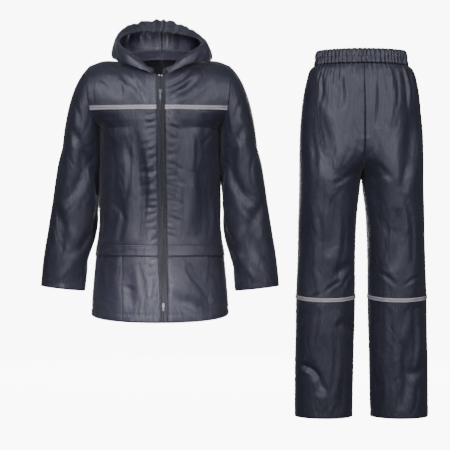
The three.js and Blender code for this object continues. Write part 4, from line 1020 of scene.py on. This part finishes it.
teeth = []
for z in np.arange(HEM_Z + 4, ZIP_TOP_Z - 2, TEETH_PITCH):
    if min(abs(z - place) for place in SLIDER_Z.values()) < SLIDER_REACH:
        continue
    above, below = z > SLIDER_Z["top"], z < SLIDER_Z["bottom"]
    for side in (-1, 1):
        apart = 1.9 if above else (1.2 + 1.2 * float(smooth_between(z, -694, -724)) if below else 0.45)
        point = front_point(side * (apart + 0.5), z + side * TEETH_PITCH / 4) - np.array([0, COIL_LIFT, 0])
        teeth.append((point, (1, 0, 0.16 * side), TOOTH_HALF, TOOTH_RADIUS))
declare(bars("zip_teeth", teeth), "zip_coil")
print("teeth", len(teeth))

# %% Sliders, pulls and top stops
NOSE_SHARE = 0.62
BRIDGE_WIRE = 0.00055


def deselect():
    bpy.ops.object.select_all(action="DESELECT")


def finish_hard(name, parts, bevel=0.0003):
    """Joins the parts, rounds their edges and leaves the piece at the origin, unturned and unscaled."""
    deselect()
    for part in parts:
        part.select_set(True)
        bpy.context.view_layer.objects.active = part
        edge = part.modifiers.new("edge", "BEVEL")
        edge.width = bevel
        edge.segments = 3
        edge.limit_method = "ANGLE"
        bpy.ops.object.modifier_apply(modifier=edge.name)
    bpy.context.view_layer.objects.active = parts[0]
    if len(parts) > 1:
        bpy.ops.object.join()
    bpy.ops.object.transform_apply(location=True, rotation=True, scale=True)
    bpy.ops.object.shade_smooth_by_angle(angle=math.radians(35))
    piece = bpy.context.object
    piece.name = name
    PIECES[name] = piece
    return piece


def block(centre, size):
    deselect()
    bpy.ops.mesh.primitive_cube_add(size=1, location=centre)
    part = bpy.context.object
    part.scale = size
    bpy.ops.object.transform_apply(location=False, rotation=False, scale=True)
    return part


def taper(part, low, high):
    """Narrows the part's lower and upper ends across X to these shares."""
    heights = [v.co.z for v in part.data.vertices]
    middle = (max(heights) + min(heights)) / 2
    for v in part.data.vertices:
        v.co.x *= high if v.co.z > middle else low


def cut_hole(part, centre, radius, depth):
    deselect()
    bpy.ops.mesh.primitive_cylinder_add(vertices=32, radius=radius, depth=depth, location=centre,
                                        rotation=(HALF_PI, 0, 0))
    cutter = bpy.context.object
    cut = part.modifiers.new("hole", "BOOLEAN")
    cut.object = cutter
    bpy.context.view_layer.objects.active = part
    bpy.ops.object.modifier_apply(modifier=cut.name)
    bpy.data.objects.remove(cutter, do_unlink=True)


def torus(centre, major, minor, turn):
    deselect()
    bpy.ops.mesh.primitive_torus_add(major_segments=32, minor_segments=10, major_radius=major,
                                     minor_radius=minor, rotation=turn, location=centre)
    return bpy.context.object


def node_box(node):
    """Low and high corner, centre and size of a frame node's box, in metres."""
    low, high = (np.array(corner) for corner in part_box(node))
    return low, high, (low + high) / 2, high - low


for word, upward in (("top", True), ("bottom", False)):
    low, high, centre, size = node_box(f"zip_slider_{word}")
    ends = (NOSE_SHARE, 1.0) if upward else (1.0, NOSE_SHARE)
    face = block(centre, (size[0], size[1] * 0.45, size[2]))
    face.location.y = low[1] + size[1] * 0.225
    taper(face, *ends)
    base = block(centre, (size[0] * 0.9, size[1] * 0.35, size[2] * 0.92))
    base.location.y = high[1] - size[1] * 0.175
    taper(base, *ends)
    wedge_z = centre[2] + (0.3 if upward else -0.3) * size[2]
    wedge = block((centre[0], centre[1], wedge_z), (size[0] * 0.3, size[1] * 0.9, size[2] * 0.36))
    bridge_place = (centre[0], low[1] + 0.0006, centre[2] + 0.0015)
    bridge = torus(bridge_place, size[2] * 0.24, BRIDGE_WIRE, (0, HALF_PI, 0))
    bridge.scale = (1.0, 0.5, 1.0)
    piece = finish_hard(f"slider_{word}", [face, base, wedge, bridge])
    declare(piece, f"zip_slider_{word}")

    low, high, centre, size = node_box(f"zip_pull_{word}")
    tab = block((centre[0], centre[1], centre[2] - size[2] * 0.1), (size[0], size[1] * 0.8, size[2] * 0.8))
    taper(tab, 1.0, 0.75)
    cut_hole(tab, (centre[0], centre[1], low[2] + size[0] * 0.55), size[0] * 0.24, size[1] * 4)
    cut_hole(tab, (centre[0], centre[1], high[2] - size[2] * 0.36), size[0] * 0.2, size[1] * 4)
    rim_place = (centre[0], centre[1], centre[2] - size[2] * 0.16)
    rim = block(rim_place, (size[0] * 0.3, size[1] * 0.98, size[2] * 0.3))
    ring_place = (centre[0], centre[1], high[2] - size[0] * 0.5)
    ring = torus(ring_place, size[0] * 0.36, size[1] * 0.32, (HALF_PI, 0, 0))
    piece = finish_hard(f"pull_tab_{word}", [tab, rim, ring], 0.00025)
    declare(piece, f"zip_pull_{word}", f"pull_{word}")

stops = []
for side in (-1, 1):
    point = front_point(side * 3.4, ZIP_TOP_Z - 1.5) - np.array([0, 1.4, 0])
    stops.append(block(tuple(point * MM), (0.0034, 0.0022, 0.0042)))
piece = finish_hard("top_stops", stops, 0.0005)
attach(piece, "suit")
print("sliders, pulls and stops made")

# %% [markdown]
# ## Sewing
# Each seam that shows has its row of thread. A stitch is a short bar pressed into the cloth, so its middle lies
# a little over the surface and its ends dip in.

# %% Rows of stitches a fixed distance from an edge of a piece
def edge_line(name, edge, distance):
    """A line on a piece, at a distance in millimetres from its top, bottom, left or right edge."""
    points, closed = GRIDS[name]
    normal = grid_normals(points, closed)
    if edge in ("left", "right"):
        points, normal = points.transpose(1, 0, 2), normal.transpose(1, 0, 2)
        axis, closed = 0, False
    else:
        axis = 2
    first, last = points[0, :, axis].mean(), points[-1, :, axis].mean()
    wants_high = edge in ("top", "right")
    if (last > first) == wants_high:
        points, normal = points[::-1], normal[::-1]
    run = run_down(points)
    i = np.argmax(run >= distance, axis=0)
    i = np.where(run[-1] < distance, len(run) - 1, np.maximum(i, 1))
    j = np.arange(points.shape[1])
    t = ((distance - run[i - 1, j]) / (run[i, j] - run[i - 1, j] + SMALL))[:, None]
    line = points[i - 1, j] * (1 - t) + points[i, j] * t
    out = normal[i, j]
    if closed:
        line, out = np.concatenate([line, line[:1]]), np.concatenate([out, out[:1]])
    return line, out


def stitches(line, out, pitch=3.4, length=2.5, radius=0.3, lift=0.12):
    """Rows for bars: short stitches along a line, a little out of the cloth."""
    run = np.concatenate([[0], np.cumsum(np.linalg.norm(np.diff(line, axis=0), axis=1))])

    def read(values, place):
        return np.array([np.interp(place, run, values[:, k]) for k in range(3)])

    rows = []
    for place in np.arange(pitch / 2, run[-1] - pitch / 3, pitch):
        start, end = read(line, place - length / 2), read(line, place + length / 2)
        middle = (start + end) / 2 + read(out, place) * lift
        rows.append((middle, end - start, length / 2, radius))
    return rows


BOTH = ("left", "right")
PANELS = ("front_left", "front_right", "side_left", "side_right", "back")
THREAD_ROWS = {
    "jacket": [(f"{part}_{word}", edge, 3.0) for part in ("front", "skirt_front")
               for word, edge in (("left", "right"), ("right", "left"))]
              + [(f"waist_band_{word}", "top", down) for down in (2.0, 6.5) for word in (*BOTH, "back")]
              + [(f"skirt_front_{word}", word, 2.5) for word in BOTH]
              + [(f"skirt_{word}", "bottom", HEM_TURN) for word in PANELS],
    "sleeves": [(f"sleeve_{word}", "bottom", 14) for word in BOTH],
    "hood": [(f"hood_{word}", "top", 15) for word in BOTH],
    "trousers": [(f"leg_{face}_{word}", "bottom", 18) for face in ("front", "back") for word in BOTH],
    "braid": [(f"braid_{part}_{word}", edge, 1.2) for part in ("chest", "knee")
              for edge in ("top", "bottom") for word in BOTH],
}


def sew(name, rows):
    piece = bars(name, rows, 4)
    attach(piece, "suit")
    print(name, len(rows), "stitches")


for group, lines in THREAD_ROWS.items():
    rows = []
    for node, edge, distance in lines:
        rows += stitches(*edge_line(f"cloth_{node}", edge, distance))
    sew(f"thread_{group}", rows)

# %% The hood's centre seam and the waistband's row
# The hood's centre seam shows pale stitches on its inner side.
points, _ = GRIDS["cloth_hood_left"]
out = grid_normals(points, False)
edge = 0 if abs(points[:, 0, 0]).max() < abs(points[:, -1, 0]).max() else -1
line, away = points[:, edge], out[:, edge]
toward = np.sign((away * (np.array([0, 0, 60.0]) - line)).sum(1))[:, None]
sew("thread_seam", stitches(line + away * toward * 1.3, away * toward, 5.6, 2.6, 0.5))

# The waistband's row lies in its dip, at the height given in its profile.
casing, _ = GRIDS["cloth_waistband"]
row = int(np.argmin(np.abs(casing[:12, :, 2].mean(1))))
line, out = (np.concatenate([a[row], a[row][:1]]) for a in (casing, grid_normals(casing, True)))
sew("thread_waist", stitches(line, out, 3.0, 2.2))

# %% [markdown]
# ## Materials
# The shell is navy taffeta with a coating, so it has a satin sheen and fine crumples that a smooth sheet would
# lack. Its base colour drifts very little. The weave and the crumples are bumps in the cloth's own flat places.

# %% A small wrapper, so that shader maths reads as plain expressions
class Sock:
    """One output socket in a node tree, with arithmetic that adds math nodes."""

    def __init__(self, tree, socket):
        self.tree = tree
        self.socket = socket

    def math(self, operation, *others):
        return self.make("ShaderNodeMath", 0, dict(enumerate((self, *others))), operation=operation)

    def make(self, kind, output, inputs, **settings):
        """Any other node, with inputs by name or number and settings as attributes."""
        node = self.tree.nodes.new(kind)
        for key, value in settings.items():
            setattr(node, key, value)
        for key, value in inputs.items():
            if isinstance(value, Sock):
                self.tree.links.new(value.socket, node.inputs[key])
            else:
                node.inputs[key].default_value = value
        return Sock(self.tree, node.outputs[output])

    def __add__(self, other):
        return self.math("ADD", other)

    def __sub__(self, other):
        return self.math("SUBTRACT", other)

    def __rsub__(self, other):
        return (self * -1.0) + other

    def __mul__(self, other):
        return self.math("MULTIPLY", other)

    __radd__ = __add__
    __rmul__ = __mul__

    def share(self, low, high):
        """0 at low, 1 at high, smooth between."""
        return self.make("ShaderNodeMapRange", "Result",
                         {"Value": self, "From Min": low, "From Max": high, "To Min": 0.0, "To Max": 1.0},
                         interpolation_type="SMOOTHSTEP")

    def noise(self, scale, detail=3.0, roughness=0.55):
        return self.make("ShaderNodeTexNoise", "Fac",
                         {"Vector": self, "Scale": scale, "Detail": detail, "Roughness": roughness})

    def mix(self, first, second):
        """A colour between two; 6, 7 and 2 are the mix node's colour inputs and its colour output."""
        ends = {6: (*first, 1), 7: (*second, 1)}
        return self.make("ShaderNodeMix", 2, {"Factor": self, **ends}, data_type="RGBA")

    def across_and_up(self):
        x = self.make("ShaderNodeSeparateXYZ", "X", {"Vector": self})
        return x, Sock(x.tree, x.socket.node.outputs["Y"])


def new_material(name):
    material = bpy.data.materials.new(name)
    material.use_nodes = True
    tree = material.node_tree
    shader = tree.nodes["Principled BSDF"]
    place = tree.nodes.new("ShaderNodeTexCoord")
    return material, shader, Sock(tree, place.outputs["Object"]), Sock(tree, place.outputs["UV"])


def feed(shader, **inputs):
    """Links sockets or sets plain numbers on the shader; an underscore stands for a space."""
    for key, value in inputs.items():
        target = shader.inputs[key.replace("_", " ")]
        if isinstance(value, Sock):
            value.tree.links.new(value.socket, target)
        else:
            target.default_value = value


def bumped(height, distance, strength=1.0, over=None):
    inputs = {"Height": height, "Distance": distance, "Strength": strength}
    if over is not None:
        inputs["Normal"] = over
    return height.make("ShaderNodeBump", "Normal", inputs)


# %% Shell cloth
def crumples(place, scale, detail, distortion, width):
    """Sharp little valleys where the noise crosses its middle."""
    noise = place.make("ShaderNodeTexNoise", "Fac",
                       {"Vector": place, "Scale": scale, "Detail": detail, "Distortion": distortion})
    return (noise - 0.5).math("ABSOLUTE").share(0.0, width)


def shell_material(name, dark, light):
    material, shader, place, flat = new_material(name)
    across, up = flat.across_and_up()
    weave = (across * WEAVE).math("SINE") * (up * WEAVE).math("SINE")
    small = place.noise(95.0, 4.0, 0.62)
    tall = place.make("ShaderNodeMapping", "Vector", {"Vector": place, "Scale": (1.0, 1.0, 0.42)})
    sharp = crumples(tall, 22.0, 1.5, 0.7, 0.16)
    fine = crumples(tall, 58.0, 1.0, 0.5, 0.2)
    drift = place.noise(11.0, 2.0)
    normal = bumped(sharp, 0.0006)
    normal = bumped(fine, 0.0002, over=normal)
    normal = bumped(small, 0.00012, over=normal)
    normal = bumped(weave, 0.00004, 0.5, over=normal)
    feed(shader, Base_Color=(drift * 0.6 + small * 0.4).share(0.3, 0.7).mix(dark, light),
         Roughness=small * 0.1 + 0.44, Normal=normal)
    feed(shader, Specular_IOR_Level=0.65, Specular_Tint=(0.94, 0.93, 1.0, 1), Sheen_Weight=0.12,
         Sheen_Roughness=0.5)
    return material


WEAVE = 9000.0
NAVY = shell_material("navy taffeta", (0.0135, 0.0138, 0.0265), (0.0205, 0.0208, 0.0375))


# %% Mesh lining
def mesh_material():
    material, shader, place, flat = new_material("black mesh")
    x, y = flat.across_and_up()
    hole = ((x * MESH_HOLES).math("SINE") * (y * MESH_HOLES).math("SINE")).math("ABSOLUTE")
    feed(shader, Base_Color=(0.010, 0.010, 0.013, 1), Roughness=place.noise(60.0) * 0.1 + 0.75,
         Alpha=1.0 - hole.share(0.45, 0.6) * 0.6, Normal=bumped(hole, 0.0003))
    return material


MESH_HOLES = 2400.0
LINING = mesh_material()


# %% Reflective braid, with a darker sewn line along its middle
def braid_material(name, middle_z):
    material, shader, place, flat = new_material(name)
    x, z = flat.across_and_up()
    off = (z - middle_z * MM).math("ABSOLUTE")
    line = 1.0 - off.share(0.0006, 0.0016)
    rib = (x * BRAID_RIBS).math("SINE") * (z * BRAID_RIBS).math("SINE")
    grain = place.noise(500.0, 2.0)
    shade = (line * 0.6 + grain * 0.25).mix((0.47, 0.44, 0.47), (0.12, 0.10, 0.12))
    feed(shader, Base_Color=shade, Roughness=grain * 0.15 + 0.4, Metallic=0.15,
         Normal=bumped(rib - line * 2.0, 0.0001))
    return material


BRAID_RIBS = 5200.0
BRAID_CHEST = braid_material("braid chest", BRAID_Z)
BRAID_KNEE = braid_material("braid knee", KNEE_Z)


# %% Zip tape, coil, metal and thread
def plain_material(name, dark, light, scale, rough, metallic=0.0, depth=0.0002, twill=False):
    material, shader, place, flat = new_material(name)
    grain = place.noise(scale, 3.0)
    height = grain
    if twill:
        x, y = flat.across_and_up()
        height = (x.math("ABSOLUTE") * TWILL + y * TWILL).math("SINE") * 0.5 + grain
    feed(shader, Base_Color=grain.share(0.3, 0.7).mix(dark, light), Roughness=grain * 0.2 + rough,
         Metallic=metallic, Normal=bumped(height, depth))
    return material


TWILL = 3000.0
TAPE = plain_material("zip tape", (0.014, 0.0145, 0.022), (0.025, 0.026, 0.036), 300.0, 0.6, twill=True)
COIL = plain_material("zip coil", (0.030, 0.030, 0.038), (0.055, 0.055, 0.065), 260.0, 0.4)
METAL = plain_material("nickel", (0.40, 0.39, 0.39), (0.55, 0.53, 0.53), 420.0, 0.22, 1.0, 0.00005)
DARK_METAL = plain_material("dark nickel", (0.10, 0.10, 0.11), (0.17, 0.17, 0.18), 420.0, 0.25, 1.0, 0.00005)
THREAD = plain_material("thread", (0.020, 0.021, 0.033), (0.038, 0.040, 0.056), 900.0, 0.55)


def give(piece, material):
    piece.data.materials.clear()
    piece.data.materials.append(material)


LOOKS = {"cloth_lining": LINING, "cloth_braid_chest": BRAID_CHEST, "cloth_braid_knee": BRAID_KNEE,
         "cloth_zip_tape": TAPE, "cloth_": NAVY, "zip_teeth": COIL, "thread_": THREAD,
         "slider_top": DARK_METAL, "pull_tab_top": DARK_METAL, "": METAL}
for name, piece in PIECES.items():
    give(piece, next(material for start, material in LOOKS.items() if name.startswith(start)))
print("materials given to", len(PIECES), "pieces")

# %% [markdown]
# ## Floor, light and camera
# The suit hangs over a round pale floor whose rim curves up all round, so each side is seen against the same
# ground. Soft lights from the front left, the front right and straight ahead draw the sheen along the creases, and
# two more light the back. Two small narrow ones brighten the inside of the hood and the jacket's skirt.

# %% Floor and backdrop
BOWL_FLOOR = 7.0
BOWL_CURVE = 2.0
BOWL_TOP = 9.0
BOWL_STEPS = 96
FLOOR_BELOW_HEM = 240
FLOOR_GLOW = 9.0


def bowl():
    """A flat round floor whose rim curves up all round, with its middle under the suit."""
    profile = [(0.02, 0.0), (BOWL_FLOOR, 0.0)]
    for a in np.linspace(0, HALF_PI, 17)[1:]:
        profile.append((BOWL_FLOOR + BOWL_CURVE * math.sin(a), BOWL_CURVE * (1 - math.cos(a))))
    profile.append((BOWL_FLOOR + BOWL_CURVE, BOWL_TOP))
    floor_z = (TROUSERS_HEM_Z - FLOOR_BELOW_HEM) * MM
    turn = [2 * math.pi * i / BOWL_STEPS for i in range(BOWL_STEPS)]
    vertices = [(r * math.cos(a), r * math.sin(a), z + floor_z) for r, z in profile for a in turn]
    faces = [tuple(range(BOWL_STEPS))]
    for ring in range(len(profile) - 1):
        for i in range(BOWL_STEPS):
            j = (i + 1) % BOWL_STEPS
            low, high = ring * BOWL_STEPS, (ring + 1) * BOWL_STEPS
            faces.append((low + i, high + i, high + j, low + j))
    mesh = bpy.data.meshes.new("floor")
    mesh.from_pydata(vertices, [], faces)
    mesh.shade_smooth()
    floor = add_object("floor", mesh)
    material, shader, _, _ = new_material("floor")
    feed(shader, Base_Color=(0.93, 0.93, 0.93, 1), Roughness=0.9, Emission_Color=(1, 1, 1, 1),
         Emission_Strength=FLOOR_GLOW)
    floor.visible_glossy = False
    floor.visible_diffuse = False
    give(floor, material)
    return floor


bowl()


# %% Lights
COOL = (0.93, 0.95, 1.0)
LIGHTS = [  # name, place, target, width and height, watts, spread in degrees
    ("key", (-1.4, -2.9, 1.3), (0.0, 0, -0.4), (1.4, 1.4), 82, 180),
    ("fill", (2.3, -2.8, 0.9), (0.4, 0, -0.5), (0.9, 1.8), 60, 180),
    ("front", (0.1, -4.4, 0.4), (0.1, 0, -0.4), (1.0, 0.7), 46, 180),
    ("hood", (0.0, -4.2, -0.95), (0.0, 0.1, 0.14), (0.2, 0.1), 0.36, 8),
    ("back left", (-0.6, 4.2, 0.1), (0.0, 0, -0.4), (1.4, 1.2), 52, 180),
    ("back right", (1.1, 4.2, 0.1), (0.4, 0, -0.4), (1.4, 1.2), 46, 180),
    ("skirt", (0.0, -3.7, 0.35), (0.0, -0.1, -0.72), (0.3, 0.1), 0.62, 11)]
WORLD_STRENGTH = 0.05


def soft_light(name, place, target, size, power, spread):
    data = bpy.data.lights.new(name, "AREA")
    data.shape = "RECTANGLE"
    data.size, data.size_y = size
    data.energy = power
    data.color = COOL
    data.spread = math.radians(spread)
    lamp = add_object(name, data)
    lamp.visible_camera = False
    lamp.location = place
    aim = Vector(target) - Vector(place)
    lamp.rotation_euler = aim.to_track_quat("-Z", "Y").to_euler()


for row in LIGHTS:
    soft_light(*row)
world = bpy.data.worlds.new("studio")
world.use_nodes = True
background = world.node_tree.nodes["Background"]
background.inputs["Color"].default_value = (1, 1, 1, 1)
background.inputs["Strength"].default_value = WORLD_STRENGTH
bpy.context.scene.world = world
print("lights", len(LIGHTS))

# %% Camera
LENS = 112.3
SENSOR = 36
FARTHEST = 40
CAMERA_PLACE = (0.185, -4.0, -0.470)
camera_data = bpy.data.cameras.new("camera")
camera_data.lens = LENS
camera_data.sensor_width = SENSOR
camera_data.clip_end = FARTHEST
camera = add_object("camera", camera_data)
camera.location = CAMERA_PLACE
camera.rotation_euler = (HALF_PI, 0, 0)
bpy.context.scene.camera = camera
print("camera at", CAMERA_PLACE)

# %% Sizes and finish
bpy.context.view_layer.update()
total = sum(len(p.data.polygons) for p in PIECES.values())
print("faces", total)
